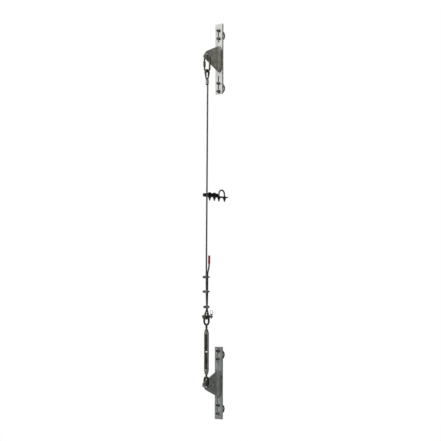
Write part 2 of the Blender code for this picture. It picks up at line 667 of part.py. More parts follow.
# Turnbuckle ------------------------------------------------------------------------------
def turnbuckle_body():
    """The open body: two bored bosses joined by two side bars."""
    origin = (0, CABLE_Y, BODY_Z)
    neck = BODY_HALF - BOSS_LENGTH
    upper = [(neck, BOSS_RADIUS - 0.003), (neck + 0.004, BOSS_RADIUS), (BODY_HALF - 0.0015, BOSS_RADIUS),
             (BODY_HALF, BOSS_RADIUS - 0.0015)]
    body = build("turnbuckle_body", turned("Z", upper), FORGED_STEEL, origin)
    combine(body, turned("Z", [(-along, radius) for along, radius in upper]), "UNION")
    section = [(u * 0.0055, v * 0.0037) for u, v in circle(1.0, 12)]
    for side in (-1, 1):
        path = [(SIDE_BAR_X - 0.0022, -neck - 0.0145), (SIDE_BAR_X - 0.0006, -neck - 0.0115),
                (SIDE_BAR_X, -neck - 0.007), (SIDE_BAR_X, -neck + 0.012), (SIDE_BAR_X, 0.0)]
        path += [(x, -z) for x, z in reversed(path[:-1])]
        combine(body, sweep([(side * x, 0, z) for x, z in path], section, (0, 1, 0)), "UNION")
    cut(body, turned("Z", [(-BODY_HALF - 0.01, ROD_RADIUS + GAP), (BODY_HALF + 0.01, ROD_RADIUS + GAP)]))


def clevis(prefix, pin_z, down, turn):
    """A jaw end with its threaded rod, jam nut, pin and linch pin; down is 1 for the upper one."""
    origin = (0, CABLE_Y, pin_z)
    rod_end = abs(pin_z - BODY_Z) - 0.003
    shoulder = JAW_CROTCH - 0.010
    outer = [(JAW_OUTSIDE, -JAW_EYE_RADIUS), (JAW_OUTSIDE, shoulder)]
    outer += [(JAW_OUTSIDE - 0.0022, JAW_CROTCH - 0.002), (0.0085, JAW_BASE)]
    crotch = arc((0, JAW_CROTCH - JAW_INSIDE), JAW_INSIDE, 180, 0, 10)
    inner = [(-JAW_INSIDE, -JAW_EYE_RADIUS)] + crotch + [(JAW_INSIDE, -JAW_EYE_RADIUS)]
    outline = outer + [(-x, z) for x, z in reversed(outer)] + inner
    fork = [(x, -down * z) for x, z in outline]
    jaw = build(prefix + "_jaw", prism("Y", fork, -0.02, 0.02), FORGED_STEEL, origin, turn)

    side = arc((0, 0), JAW_EYE_RADIUS - 0.0001, 200, 340, 12)
    side += [(JAW_HALF_DEPTH, 0.012), (JAW_HALF_DEPTH - 0.0015, shoulder), (0.0082, JAW_BASE + 0.001)]
    side += [(-0.0082, JAW_BASE + 0.001), (-JAW_HALF_DEPTH + 0.0015, shoulder), (-JAW_HALF_DEPTH, 0.012)]
    envelope = [(y, -down * z) for y, z in side]
    combine(jaw, prism("X", envelope, -0.020, 0.020), "INTERSECT")
    rod = [(JAW_BASE - 0.005, ROD_RADIUS), (rod_end - 0.0015, ROD_RADIUS), (rod_end, ROD_RADIUS - 0.0015)]
    combine(jaw, turned("Z", [(-down * along, radius) for along, radius in rod]), "UNION")
    cut(jaw, turned("X", [(-0.020, PIN_RADIUS + GAP), (0.020, PIN_RADIUS + GAP)]))

    face = abs(pin_z - BODY_Z) - BODY_HALF - GAP
    low, high = sorted((-down * face, -down * (face - JAM_HEIGHT)))
    nut = hex_nut("Z", JAM_FLATS, ROD_RADIUS + GAP, low, high)
    build(prefix + "_jam_nut", nut, THREADED_ZINC, origin, turn)

    neck = -JAW_OUTSIDE - GAP
    profile = [(PIN_HEAD, 0.0085), (PIN_HEAD + 0.001, 0.0095), (neck, 0.0095), (neck, PIN_RADIUS),
               (PIN_TIP - 0.0015, PIN_RADIUS), (PIN_TIP, PIN_RADIUS - 0.0015)]
    pin = build(prefix + "_jaw_pin", turned("X", profile), THREADED_ZINC, origin, turn)
    bore = LINCH_RADIUS + GAP
    cut(pin, turned("Z", [(-0.010, bore), (0.010, bore)], (LINCH_X, 0, 0), sides=14))
    linch_pin(prefix, origin, turn)


def linch_pin(prefix, origin, turn):
    """The pin across the end of a jaw pin, with its hinged ring standing up."""
    seat = PIN_RADIUS + GAP
    profile = [(-0.0135, 0.0012), (-0.0115, LINCH_RADIUS), (seat, LINCH_RADIUS), (seat, 0.0045),
               (0.0148, 0.0045), (0.0158, 0.0032)]
    pin = build(prefix + "_linch_pin", turned("Z", profile, (LINCH_X, 0, 0), sides=14), THREADED_ZINC,
                origin, turn)
    hole = turned("X", [(LINCH_X - 0.008, RING_WIRE + GAP), (LINCH_X + 0.008, RING_WIRE + GAP)],
                  (0, 0, LINCH_PIVOT), sides=12)
    cut(pin, hole)
    foot = 0.0068
    loop = arc((0, 0.0150), 0.0085, -42, 222, 16)
    wire = [(foot - 0.0012, 0.0), (foot, 0.0012)] + loop + [(-foot, 0.0012), (-foot + 0.0012, 0.0)]
    points = [(x, 0, z) for x, z in wire]
    stations = frames([points[-1]] + points + [points[0]], (0, 1, 0))[1:-1]
    rings = [section_ring(station, circle(RING_WIRE, 8)) for station in stations]
    angle = math.radians(turn)
    pivot = Vector(origin) + Vector((LINCH_X * math.cos(angle), LINCH_X * math.sin(angle), LINCH_PIVOT))
    build(prefix + "_linch_ring", loft(rings, closed=True), BRIGHT_ZINC, pivot, turn)


def turnbuckle():
    """The tensioner between the bottom eye and the bottom bracket."""
    turnbuckle_body()
    clevis("upper", UPPER_PIN_Z, 1, JAW_TURN)
    clevis("lower", LOWER_PIN_Z, -1, 0.0)


# Cable guide -----------------------------------------------------------------------------
def cable_guide():
    """The guide on a middle rung: steel arm, notched plastic block and their fasteners."""
    rung = rung_z(4)
    arm_bottom = ARM_TOP - ARM_THICKNESS
    bend_z = rung + RUNG_RADIUS + GAP - (UBOLT_SPREAD - UBOLT_ROD)
    leg_end = bend_z - (arm_bottom - 0.022)
    legs = [RUNG_RADIUS + side * UBOLT_SPREAD for side in (-1, 1)]

    outline = rounded(rectangle(ARM_HALF_WIDTH, (ARM_REAR - ARM_FRONT) / 2, (0, (ARM_REAR + ARM_FRONT) / 2)),
                      0.004)
    arm = build("guide_arm", prism("Z", outline, arm_bottom, ARM_TOP), WEATHERED_ZINC)
    for y in legs + list(GUIDE_BOLTS):
        cut(arm, turned("Z", [(arm_bottom - 0.002, 0.0055), (ARM_TOP + 0.002, 0.0055)], (0, y, 0)))

    u_bolt("guide_ubolt", (0, RUNG_RADIUS, bend_z), (0, 0, -1), leg_end, WEATHERED_ZINC)
    block()
    nut_top = arm_bottom - WASHER_THICKNESS - 2 * GAP
    for prefix, spots in (("guide_ubolt", legs), ("guide_block", GUIDE_BOLTS)):
        for y, label in zip(spots, ("front", "rear")):
            nut = hex_nut("Z", GUIDE_NUT_FLATS, BOLT_RADIUS + GAP, nut_top - NUT_HEIGHT, nut_top)
            build(f"{prefix}_nut_{label}", nut, THREADED_ZINC, (0, y, 0))
    for y, label in zip(GUIDE_BOLTS, ("front", "rear")):
        build(f"guide_block_bolt_{label}", guide_bolt(arm_bottom - 0.021), THREADED_ZINC, (0, y, 0))


def block():
    """The black block: open notch for the rope in front, recess for the arm below."""
    mid_y = (BLOCK_FRONT + BLOCK_REAR) / 2
    outline = rounded(rectangle(BLOCK_HALF_WIDTH, (BLOCK_REAR - BLOCK_FRONT) / 2, (0, mid_y)), 0.005)
    guide = build("guide_block", prism("Z", outline, BLOCK_BOTTOM, BLOCK_TOP), BLACK_PLASTIC)
    notch_y = CABLE_Y + 0.001
    notch = [(-0.0085, BLOCK_FRONT - 0.002), (0.0085, BLOCK_FRONT - 0.002), (0.0066, BLOCK_FRONT + 0.004)]
    notch += arc((0, notch_y), 0.0066, 0, 180, 12) + [(-0.0066, BLOCK_FRONT + 0.004)]
    cut(guide, prism("Z", notch, BLOCK_BOTTOM - 0.002, BLOCK_TOP + 0.002))
    recess = rectangle(ARM_HALF_WIDTH + GAP, 0.060, (0, ARM_FRONT - GAP + 0.060))
    cut(guide, prism("Z", recess, BLOCK_BOTTOM - 0.002, ARM_TOP + GAP))
    for y in GUIDE_BOLTS:
        cut(guide, turned("Z", [(BLOCK_BOTTOM - 0.002, 0.0053), (BLOCK_TOP + 0.002, 0.0053)], (0, y, 0)))


def guide_bolt(end):
    """A hexagon-head bolt dropped through the block and the arm."""
    seat = BLOCK_TOP + GAP
    rings = []
    head = hexagon(GUIDE_NUT_FLATS, GUIDE_NUT_FLATS)
    shank = circle(BOLT_RADIUS, NUT_SIDES)
    for outline, z in ((hexagon(GUIDE_NUT_FLATS, GUIDE_NUT_FLATS / 2), seat + 0.006), (head, seat + 0.005),
                       (head, seat), (shank, seat), (shank, end + 0.001),
                       (circle(BOLT_RADIUS - 0.001, NUT_SIDES), end)):
        rings.append([Vector((u, v, z)) for u, v in outline])
    return loft(rings)


bracket("top", TOP_BAR_Z, (1, 2), TOP_GUSSET_Z, 1, (TOP_HOLE_Z, TOP_HOLE_RADIUS), BRIGHT_ZINC,
        GUSSET_STEEL)
bracket("bottom", BOTTOM_BAR_Z, (7, 8), BOTTOM_GUSSET_Z, -1, (BOTTOM_HOLE_Z, BOTTOM_HOLE_RADIUS),
        WEATHERED_ZINC, WEATHERED_ZINC)
carabiner()
lifeline()
turnbuckle()
cable_guide()
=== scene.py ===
"""Looks of the ladder lifeline kit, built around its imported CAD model. Metres, +Z up."""
import json
import math
import random

import bmesh
import bpy
from mathutils import Matrix, Vector


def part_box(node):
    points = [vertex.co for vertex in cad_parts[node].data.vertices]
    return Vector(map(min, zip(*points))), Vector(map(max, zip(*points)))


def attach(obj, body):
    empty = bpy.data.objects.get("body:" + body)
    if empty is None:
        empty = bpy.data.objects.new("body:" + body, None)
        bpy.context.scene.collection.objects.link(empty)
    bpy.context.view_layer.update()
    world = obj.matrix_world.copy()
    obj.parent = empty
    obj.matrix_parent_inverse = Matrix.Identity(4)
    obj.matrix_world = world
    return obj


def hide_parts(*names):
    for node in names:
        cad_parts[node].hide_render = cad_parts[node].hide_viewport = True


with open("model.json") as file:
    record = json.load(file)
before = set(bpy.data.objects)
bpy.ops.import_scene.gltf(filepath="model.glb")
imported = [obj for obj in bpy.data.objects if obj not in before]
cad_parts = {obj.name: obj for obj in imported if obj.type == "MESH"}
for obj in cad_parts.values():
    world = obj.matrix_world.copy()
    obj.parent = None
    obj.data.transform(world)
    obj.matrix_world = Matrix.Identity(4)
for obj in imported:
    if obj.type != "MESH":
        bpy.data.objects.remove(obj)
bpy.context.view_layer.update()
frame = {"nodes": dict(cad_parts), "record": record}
random.seed(11)

FULL_TURN = 2 * math.pi
BEVEL_SLOPE = 0.577     # of the 30 degree chamfer on nuts and bolt heads
BODY_OF = {node: body for body, nodes in frame["record"]["behaviour"]["bodies"].items() for node in nodes}
SLOT_OF = {row["node"]: row["material_slot"] for row in frame["record"]["subparts"]}

# The CAD model's dimensions ----------------------------------------------------------------
RUNG_PITCH = 0.3048
RUNG_RADIUS = 0.016
GAP = 0.0003
BAR_FRONT = -0.0095
WASHER_THICKNESS = 0.002
WASHER_RADIUS = 0.011

CABLE_Y = -0.1055
CABLE_RADIUS = 0.00475
PAIR = CABLE_RADIUS + GAP / 2
PAIR_SHIFT = 0.003
EYE_RADIUS = 0.016
THIMBLE_DEPTH = 0.0068
TOP_EYE_Z = -0.0784
BOTTOM_EYE_Z = -1.46 - 0.00635 - GAP - THIMBLE_DEPTH + EYE_RADIUS
EYE_LENGTH = TOP_EYE_Z + 0.118
FERRULE_TOP = -0.121
FERRULE_BOTTOM = -0.146
CLIP_HEIGHTS = (-1.2385, -1.320, -1.406)
CLIP_TWISTS = (0.0, 8.0, 30.0)
EYE_TURN = 10.0
JAW_TURN = 20.0
CLIP_ROD = 0.004
CLIP_SPREAD = 0.0102
CLIP_LEG_END = -0.0222
CLIP_PITCH = 0.00125
CLIP_THREAD = 0.015
CLIP_NUT_FLATS = 0.013
CLIP_NUT_HEIGHT = 0.0065
CAP_LOW = -1.165
CAP_HIGH = -1.115

UBOLT_ROD = 0.00475
UBOLT_SPREAD = 0.023
UBOLT_REACH = 0.028
GUIDE_RUNG_Z = -0.762
CLAMP_PITCH = 0.0015    # threads of the brackets' and the guide's bolts
CLAMP_THREAD = 0.026    # and the length of a U-bolt's thread
NUT_FLATS = 0.016
NUT_HEIGHT = 0.0085
GUIDE_NUT_FLATS = 0.0145
GUIDE_WASHER_RADIUS = 0.0095
BOLT_RADIUS = 0.00475
BOLT_HEAD = 0.006
BOLT_THREAD = 0.022

GUSSET_ROOTS = {"top": 0.012, "bottom": -1.836}
GUSSET_HALF_HEIGHT = 0.074
FOOT_EDGE = 0.0225
FOOT_CORNER = (0.0125, 0.025)
WELD_RADIUS = 0.0019

UPPER_PIN_Z = -1.46
LOWER_PIN_Z = -1.84415
BODY_Z = -1.6565
ROD_RADIUS = 0.00635
JAW_BASE = 0.0485
JAW_PITCH = 0.001954
JAM_FLATS = 0.019
JAM_HEIGHT = 0.010
PIN_RADIUS = 0.00635
PIN_HEAD = -0.0248
PIN_TIP = 0.0365
JAW_OUTSIDE = 0.0168
LINCH_X = 0.0300
LINCH_RADIUS = 0.00265
LINCH_PIVOT = 0.0112
RING_WIRE = 0.00115

LINK_ROD = 0.00525
LINK_TOP_RADIUS = 0.0215
LINK_BOTTOM_RADIUS = 0.020
LINK_LENGTH = 0.0938
LINK_TOP_Z = 0.01905
GATE_RADIUS = 0.0045
GATE_START = 0.005
GATE_END = 0.049
SLEEVE_RADIUS = 0.0075
SLEEVE_LENGTH = 0.031
SLEEVE_START = 0.0075
HINGE_RADIUS = 0.0018

FLOOR_Z = -2.34
FLOOR_RADIUS = 1.45
CAMERA_PLACE = (5.059208, -5.289202, -1.388411)
CAMERA_ANGLES = (43.69, 3.70, 0.096)    # azimuth, pitch and roll in degrees
CAMERA_LENS = 105.17338
CAMERA_SENSOR = 36.0
LIGHTS = (("key", (-2.6, -4.2, 1.2), 2.4, 95.0),     # name, place, size and power
          ("fill", (3.4, -3.6, -1.2), 3.0, 9.0),
          ("top", (0.6, -0.8, 3.2), 2.0, 40.0))
LIGHTS_AIM = Vector((0, -0.05, -0.9))
GLOW_FROM = Vector((-0.42, -0.74, 0.52))


# Camera ------------------------------------------------------------------------------------
def add_camera():
    """The camera at the photograph's viewing angle: in front, to the right and a little below."""
    azimuth, pitch, roll = (math.radians(angle) for angle in CAMERA_ANGLES)
    ahead = Vector((-math.sin(azimuth) * math.cos(pitch), math.cos(azimuth) * math.cos(pitch),
                    math.sin(pitch)))
    right = Vector((math.cos(azimuth), math.sin(azimuth), 0.0))
    over = right.cross(ahead)
    side = right * math.cos(roll) + over * math.sin(roll)
    up = over * math.cos(roll) - right * math.sin(roll)
    camera = bpy.data.objects.new("camera", bpy.data.cameras.new("camera"))
    bpy.context.scene.collection.objects.link(camera)
    turned = Matrix((side, up, -ahead)).transposed().to_4x4()
    camera.matrix_world = Matrix.Translation(CAMERA_PLACE) @ turned
    camera.data.lens = CAMERA_LENS
    camera.data.sensor_width = CAMERA_SENSOR
    bpy.context.scene.camera = camera


# Materials ---------------------------------------------------------------------------------
def linear(colour):
    """A colour given in display values from 0 to 255, as the shader wants it."""
    return [((v / 255 + 0.055) / 1.055) ** 2.4 if v > 10 else v / 255 / 12.92 for v in colour] + [1.0]


def node(tree, kind, values=None, **settings):
    """A shader node with its settings, and its inputs given as values or linked sockets."""
    made = tree.nodes.new("ShaderNode" + kind)
    for key, value in settings.items():
        setattr(made, key, value)
    for key, value in (values or {}).items():
        if isinstance(value, bpy.types.NodeSocket):
            tree.links.new(value, made.inputs[key])
        else:
            made.inputs[key].default_value = value
    return made


def maths(tree, operation, first, second=0.0):
    """One sum of two values."""
    return node(tree, "Math", {0: first, 1: second}, operation=operation).outputs[0]


def spread(tree, value, low, high, to_low=0.0, to_high=1.0):
    """A value carried from one range to another and held inside it."""
    limits = {"Value": value, "From Min": low, "From Max": high, "To Min": to_low, "To Max": to_high}
    return node(tree, "MapRange", limits).outputs[0]


def ramp(tree, value, stops):
    """A colour picked from stops of (place, display colour)."""
    made = node(tree, "ValToRGB", {"Fac": value})
    elements = made.color_ramp.elements
    while len(elements) < len(stops):
        elements.new(0.5)
    for element, (place, colour) in zip(elements, stops):
        element.position = place
        element.color = linear(colour)
    return made.outputs["Color"]


def mixed(tree, share, first, second, blend="MIX"):
    """Two colours mixed by a share."""
    return node(tree, "Mix", {0: share, 6: first, 7: second}, data_type="RGBA",
                blend_type=blend).outputs[2]


def noise(tree, place, scale, detail=5.0, rough=0.55, stretch=(1, 1, 1)):
    """Fractal noise at a scale in cells per metre, stretched along an axis."""
    moved = node(tree, "Mapping", {"Vector": place, "Scale": stretch}).outputs[0]
    return node(tree, "TexNoise", {"Vector": moved, "Scale": scale, "Detail": detail,
                                   "Roughness": rough}).outputs["Fac"]


def begin(name):
    """A material's node tree, its shader and the object's own coordinates."""
    material = bpy.data.materials.new(name)
    material.use_nodes = True
    tree = material.node_tree
    return material, tree, tree.nodes["Principled BSDF"], node(tree, "TexCoord").outputs["Object"]


def bump(tree, shader, height, strength, distance):
    """Surface relief from a height."""
    made = node(tree, "Bump", {"Height": height, "Strength": strength, "Distance": distance})
    tree.links.new(made.outputs[0], shader.inputs["Normal"])


def metal(name, tones, metallic, roughness, spangle=0.0, streaks=0.25, edge=None, stain=None,
          stain_share=0.0, stain_at=None, grain=0.25, tint=None, painted_shade=0.0, fade=None):
    """Weathered metal: mottled tones, zinc spangle, run marks, rubbed edges, stains and painted shade.

    tones are display colours from dark to light, edge the colour of rubbed edges, stain a stain's
    colour, which gathers around stain_at = (point, radius) if that is given, tint a second colour
    that comes and goes in large patches, crevice how far painted shade darkens the vertices the mesh
    marks for it (the grooves between a rope's wires, the threaded ends of bolts), and
    fade = (high, low, share) darkens the metal by a share from one height down to another.
    """
    material, tree, shader, place = begin(name)
    mottle = noise(tree, place, 55, 6.0, 0.62)
    runs = noise(tree, place, 120, 4.0, 0.6, (1.0, 1.0, 0.06))
    cells = node(tree, "TexVoronoi", {"Vector": place, "Scale": 210.0, "Randomness": 1.0})
    facet = node(tree, "SeparateColor", {"Color": cells.outputs["Color"]}).outputs[0]
    tone = maths(tree, "MULTIPLY", mottle, 1.0 - spangle - streaks)
    tone = maths(tree, "ADD", tone, maths(tree, "MULTIPLY", facet, spangle))
    tone = maths(tree, "ADD", tone, maths(tree, "MULTIPLY", runs, streaks))
    tone = spread(tree, tone, 0.28, 0.72)
    stops = [(i / (len(tones) - 1), colour) for i, colour in enumerate(tones)]
    colour = ramp(tree, tone, stops)
    if tint:
        patches = spread(tree, noise(tree, place, 9, 3.0), 0.42, 0.60)
        colour = mixed(tree, patches, colour, linear(tint))
        colour = mixed(tree, maths(tree, "MULTIPLY", tone, 0.25), colour, linear((200, 204, 200)))
    if stain:
        share = spread(tree, noise(tree, place, 70, 7.0, 0.7), 0.62 - 0.3 * stain_share,
                       0.72 - 0.2 * stain_share)
        if stain_at:
            spot, radius = stain_at
            away = node(tree, "VectorMath", {0: place, 1: spot}, operation="DISTANCE").outputs["Value"]
            near = spread(tree, away, radius * 0.4, radius, 1.0, 0.0)
            share = maths(tree, "MAXIMUM", maths(tree, "MULTIPLY", share, 0.35),
                          maths(tree, "MULTIPLY", near, spread(tree, mottle, 0.3, 0.55)))
        colour = mixed(tree, share, colour, linear(stain))
    if edge:
        rub = node(tree, "NewGeometry").outputs["Pointiness"]
        rub = maths(tree, "MULTIPLY", spread(tree, rub, 0.505, 0.56), spread(tree, mottle, 0.3, 0.6))
        colour = mixed(tree, rub, colour, linear(edge))
    # Painted shade: the vertices marked in the mesh darken towards a near-black, mottled a little.
    if painted_shade:
        depth = node(tree, "Attribute", attribute_name="painted_shade").outputs["Fac"]
        dark = mixed(tree, painted_shade, colour, linear((16, 14, 10)), "MULTIPLY")
        shade_share = maths(tree, "MULTIPLY", depth, spread(tree, mottle, 0.2, 0.6, 0.6, 1.0))
        colour = mixed(tree, shade_share, colour, dark)
    if fade:
        high, low, share = fade
        height = node(tree, "SeparateXYZ", {"Vector": place}).outputs["Z"]
        colour = mixed(tree, spread(tree, height, low, high, share, 0.0), colour,
                       linear((0, 0, 0)))
    tree.links.new(colour, shader.inputs["Base Color"])
    shader.inputs["Metallic"].default_value = metallic
    rough = spread(tree, mottle, 0.3, 0.7, roughness - 0.10, roughness + 0.12)
    tree.links.new(rough, shader.inputs["Roughness"])
    fine = noise(tree, place, 1500, 3.0)
    height = maths(tree, "ADD", maths(tree, "MULTIPLY", fine, 0.5), mottle)
    bump(tree, shader, height, grain, 0.0004)
    return material


def plastic(name, tones, roughness, grain, sheen=0.0):
    """Moulded plastic: a slight change of tone, a fine moulded grain and scuffs."""
    material, tree, shader, place = begin(name)
    cloud = noise(tree, place, 90, 5.0)
    scuffs = spread(tree, noise(tree, place, 260, 6.0, 0.7, (1, 1, 0.15)), 0.60, 0.70)
    colour = ramp(tree, spread(tree, cloud, 0.3, 0.7), [(0.0, tones[0]), (1.0, tones[1])])
    colour = mixed(tree, maths(tree, "MULTIPLY", scuffs, 0.5), colour, linear(tones[2]))
    tree.links.new(colour, shader.inputs["Base Color"])
    tree.links.new(spread(tree, scuffs, 0.0, 1.0, roughness, roughness + 0.2), shader.inputs["Roughness"])
    shader.inputs["Sheen Weight"].default_value = sheen
    bump(tree, shader, noise(tree, place, 1300, 2.0), grain, 0.0003)
    return material


# Every metal finish; the names are the record's slots, and more where one slot varies or where shade is
# painted in.
METALS = {
    "bright_zinc": {
        "tones": [(118, 118, 113), (146, 146, 142), (176, 177, 174)], "metallic": 0.35,
        "roughness": 0.42, "spangle": 0.32, "streaks": 0.25, "edge": (208, 208, 204),
        "stain": (96, 90, 78), "stain_share": 0.1},
    "gusset_steel": {
        "tones": [(122, 120, 103), (152, 150, 134), (182, 181, 169)], "metallic": 0.40,
        "roughness": 0.50, "spangle": 0.22, "streaks": 0.30, "edge": (208, 208, 198),
        "stain": (84, 64, 46), "stain_share": 0.2,
        "stain_at": ((FOOT_EDGE, BAR_FRONT - 0.005, -0.055), 0.020)},
    "weathered_zinc": {
        "tones": [(86, 94, 92), (112, 120, 118), (136, 142, 138)], "metallic": 0.40, "roughness": 0.52,
        "spangle": 0.25, "streaks": 0.35, "edge": (166, 170, 166), "stain": (84, 74, 58),
        "stain_share": 0.25, "tint": (102, 118, 114), "fade": (-1.95, -2.25, 0.42)},
    "bottom_gusset": {
        "tones": [(108, 108, 96), (132, 132, 121), (156, 158, 148)], "metallic": 0.36,
        "roughness": 0.52, "spangle": 0.22, "streaks": 0.35, "edge": (168, 172, 166),
        "stain": (88, 78, 62), "stain_share": 0.3, "tint": (112, 126, 124)},
    "weld_metal": {
        "tones": [(62, 50, 40), (88, 74, 62), (116, 106, 96)], "metallic": 0.45, "roughness": 0.60,
        "spangle": 0.0, "streaks": 0.1, "edge": (150, 144, 136), "stain": (96, 58, 34),
        "stain_share": 0.6, "grain": 0.5},
    # Yellow-chromated zinc, its tones darkened well below its own colour: partly its own colour, partly
    # painted shade.
    "yellow_chromate": {
        "tones": [(24, 20, 6), (44, 39, 14), (76, 69, 32)], "metallic": 0.75, "roughness": 0.30,
        "spangle": 0.0, "streaks": 0.15, "edge": (104, 98, 68), "stain": (20, 16, 9),
        "stain_share": 0.3, "tint": (44, 42, 24)},
    # cable_steel's crevice share is painted shade in the grooves between the wires.
    "cable_steel": {
        "tones": [(104, 102, 97), (130, 129, 124), (158, 157, 152)], "metallic": 0.55,
        "roughness": 0.42, "spangle": 0.0, "streaks": 0.1, "edge": (176, 176, 170),
        "stain": (90, 84, 70), "stain_share": 0.2, "painted_shade": 0.75, "fade": (-0.20, -1.05, 0.34)},
    "swage_metal": {
        "tones": [(186, 185, 180), (205, 204, 200), (224, 224, 220)], "metallic": 0.50,
        "roughness": 0.38, "spangle": 0.0, "streaks": 0.45, "edge": (232, 232, 228),
        "stain": (140, 138, 130), "stain_share": 0.1},
    "thimble_steel": {
        "tones": [(30, 28, 22), (54, 52, 44), (88, 86, 78)], "metallic": 0.65, "roughness": 0.42,
        "spangle": 0.1, "streaks": 0.1, "edge": (140, 140, 132), "stain": (40, 34, 22),
        "stain_share": 0.3},
    "clip_steel": {
        "tones": [(60, 58, 50), (90, 88, 80), (122, 121, 113)], "metallic": 0.55, "roughness": 0.46,
        "spangle": 0.1, "streaks": 0.15, "edge": (160, 160, 152), "stain": (60, 48, 32),
        "stain_share": 0.3, "grain": 0.45},
    "jaw_steel": {
        "tones": [(30, 29, 20), (52, 50, 40), (84, 83, 73)], "metallic": 0.65, "roughness": 0.38,
        "spangle": 0.04, "streaks": 0.35, "edge": (122, 122, 112), "stain": (36, 28, 18),
        "stain_share": 0.3, "grain": 0.4},
    "forged_steel": {
        "tones": [(84, 83, 70), (124, 124, 112), (168, 170, 161)], "metallic": 0.70, "roughness": 0.34,
        "spangle": 0.04, "streaks": 0.45, "edge": (188, 190, 182), "stain": (60, 50, 36),
        "stain_share": 0.05, "grain": 0.35},
    "threaded_zinc": {
        "tones": [(48, 47, 42), (72, 71, 65), (104, 103, 96)], "metallic": 0.65, "roughness": 0.40,
        "spangle": 0.08, "streaks": 0.1, "edge": (150, 149, 142), "stain": (54, 42, 28),
        "stain_share": 0.2},
    # Near-black zinc for the guide's arm, bolts, nuts and washers: galvanised steel with the shade it sits
    # in painted into its colour.
    "shaded_zinc": {
        "tones": [(14, 14, 14), (26, 26, 25), (46, 46, 44)], "metallic": 0.50, "roughness": 0.46,
        "spangle": 0.05, "streaks": 0.2, "edge": (84, 84, 80), "stain": (30, 24, 18), "stain_share": 0.2},
}
# The bolts take their bar's zinc; their crevice share is painted shade that darkens the threaded ends.
for bolt_place, bolt_tones in (("top", [(130, 130, 125), (158, 158, 154), (190, 190, 186)]),
                               ("bottom", [(74, 80, 78), (100, 106, 104), (128, 132, 128)]),
                               ("guide", [(120, 120, 116), (150, 150, 146), (180, 180, 176)])):
    METALS[bolt_place + "_bolt_zinc"] = {
        "tones": bolt_tones, "metallic": 0.55, "roughness": 0.38, "spangle": 0.1, "streaks": 0.1,
        "stain": (60, 48, 32), "stain_share": 0.15, "painted_shade": 0.92}
MATERIALS = {name: metal(name, **look) for name, look in METALS.items()}
MATERIALS["black_plastic"] = plastic("black_plastic", [(10, 10, 11), (20, 20, 21), (52, 52, 52)], 0.50, 0.35)
MATERIALS["red_plastic"] = plastic("red_plastic", [(150, 30, 22), (178, 44, 34), (206, 118, 106)], 0.42,
                                   0.15, 0.1)


# Mesh helpers ------------------------------------------------------------------------------
def centre(name):
    """The middle of a CAD node."""
    low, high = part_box(name)
    return (low + high) / 2


def skin(bm, rings, closed=False):
    """Quads between equal rings of points, capped at both ends unless the row is closed."""
    loops = [[bm.verts.new(point) for point in ring] for ring in rings]
    pairs = list(zip(loops, loops[1:]))
    if closed:
        pairs.append((loops[-1], loops[0]))
    for low, high in pairs:
        for i in range(len(low)):
            j = (i + 1) % len(low)
            bm.faces.new((low[i], low[j], high[j], high[i]))
    if not closed:
        bm.faces.new(loops[0])
        bm.faces.new(loops[-1])
    return bm


def basis(axis):
    """Two directions square to an axis."""
    along = Vector(axis).normalized()
    across = along.cross(Vector((0, 0, 1)) if abs(along.z) < 0.9 else Vector((0, 1, 0))).normalized()
    return along, across, along.cross(across)


def lathe(profile, middle, axis, sides=40, closed=False, bm=None, shape=None):
    """A solid of revolution from (distance along the axis, radius) pairs; shape(along, angle) scales it."""
    along, across, other = basis(axis)
    rings = []
    for rise, radius in profile:
        ring = []
        for i in range(sides):
            angle = FULL_TURN * i / sides
            size = radius * (shape(rise, angle) if shape else 1.0)
            spoke = across * math.cos(angle) + other * math.sin(angle)
            ring.append(Vector(middle) + along * rise + spoke * size)
        rings.append(ring)
    return skin(bm or bmesh.new(), rings, closed)


def arc(middle, radius, start, end, steps):
    """Points along an arc, angles in degrees."""
    turns = [math.radians(start + (end - start) * i / steps) for i in range(steps + 1)]
    return [(middle[0] + radius * math.cos(t), middle[1] + radius * math.sin(t)) for t in turns]


def stations(points, lateral):
    """A path's points, each with the distance gone and the two directions of its section."""
    path = [Vector(point) for point in points]
    result = []
    gone = 0.0
    for i, point in enumerate(path):
        if i:
            gone += (point - path[i - 1]).length
        tangent = (path[min(i + 1, len(path) - 1)] - path[max(i - 1, 0)]).normalized()
        normal = tangent.cross(Vector(lateral)).normalized()
        result.append((gone, point, normal.cross(tangent), normal))
    return result


def tube(points, radius, sides=24, lateral=(1, 0, 0), closed=False, bm=None):
    """A round bar along a path; radius is a length, or a function of distance gone and angle."""
    size = radius if callable(radius) else lambda gone, angle: radius
    places = stations(([points[-1]] + list(points) + [points[0]]) if closed else points, lateral)
    if closed:
        places = places[1:-1]
    rings = []
    for gone, point, side, normal in places:
        ring = []
        for i in range(sides):
            angle = FULL_TURN * i / sides
            ring.append(point + (side * math.cos(angle) + normal * math.sin(angle)) * size(gone, angle))
        rings.append(ring)
    return skin(bm or bmesh.new(), rings, closed)


def threaded(core, pitch, spans, length, tip=0.0012):
    """The radius of a bar of a length with a thread on spans of it and chamfered ends."""
    depth = 0.5 * pitch

    def radius(gone, angle):
        result = core
        for low, high in spans:
            if low <= gone <= high:
                fade = min(1.0, (gone - low) / pitch + 0.2, (high - gone) / pitch + 0.2)
                wave = abs(2 * ((gone / pitch - angle / FULL_TURN) % 1.0) - 1)
                result = core - depth * fade * max(0.0, min(1.0, 1.25 * wave - 0.12))
        end = min(gone, length - gone)
        return result * (1.0 - 0.24 * max(0.0, 1 - end / tip))
    return radius


def even(start, end, step):
    """Points from start to end at about an even step, the last left out."""
    start, end = Vector(start), Vector(end)
    count = max(1, round((end - start).length / step))
    return [start.lerp(end, i / count) for i in range(count)]


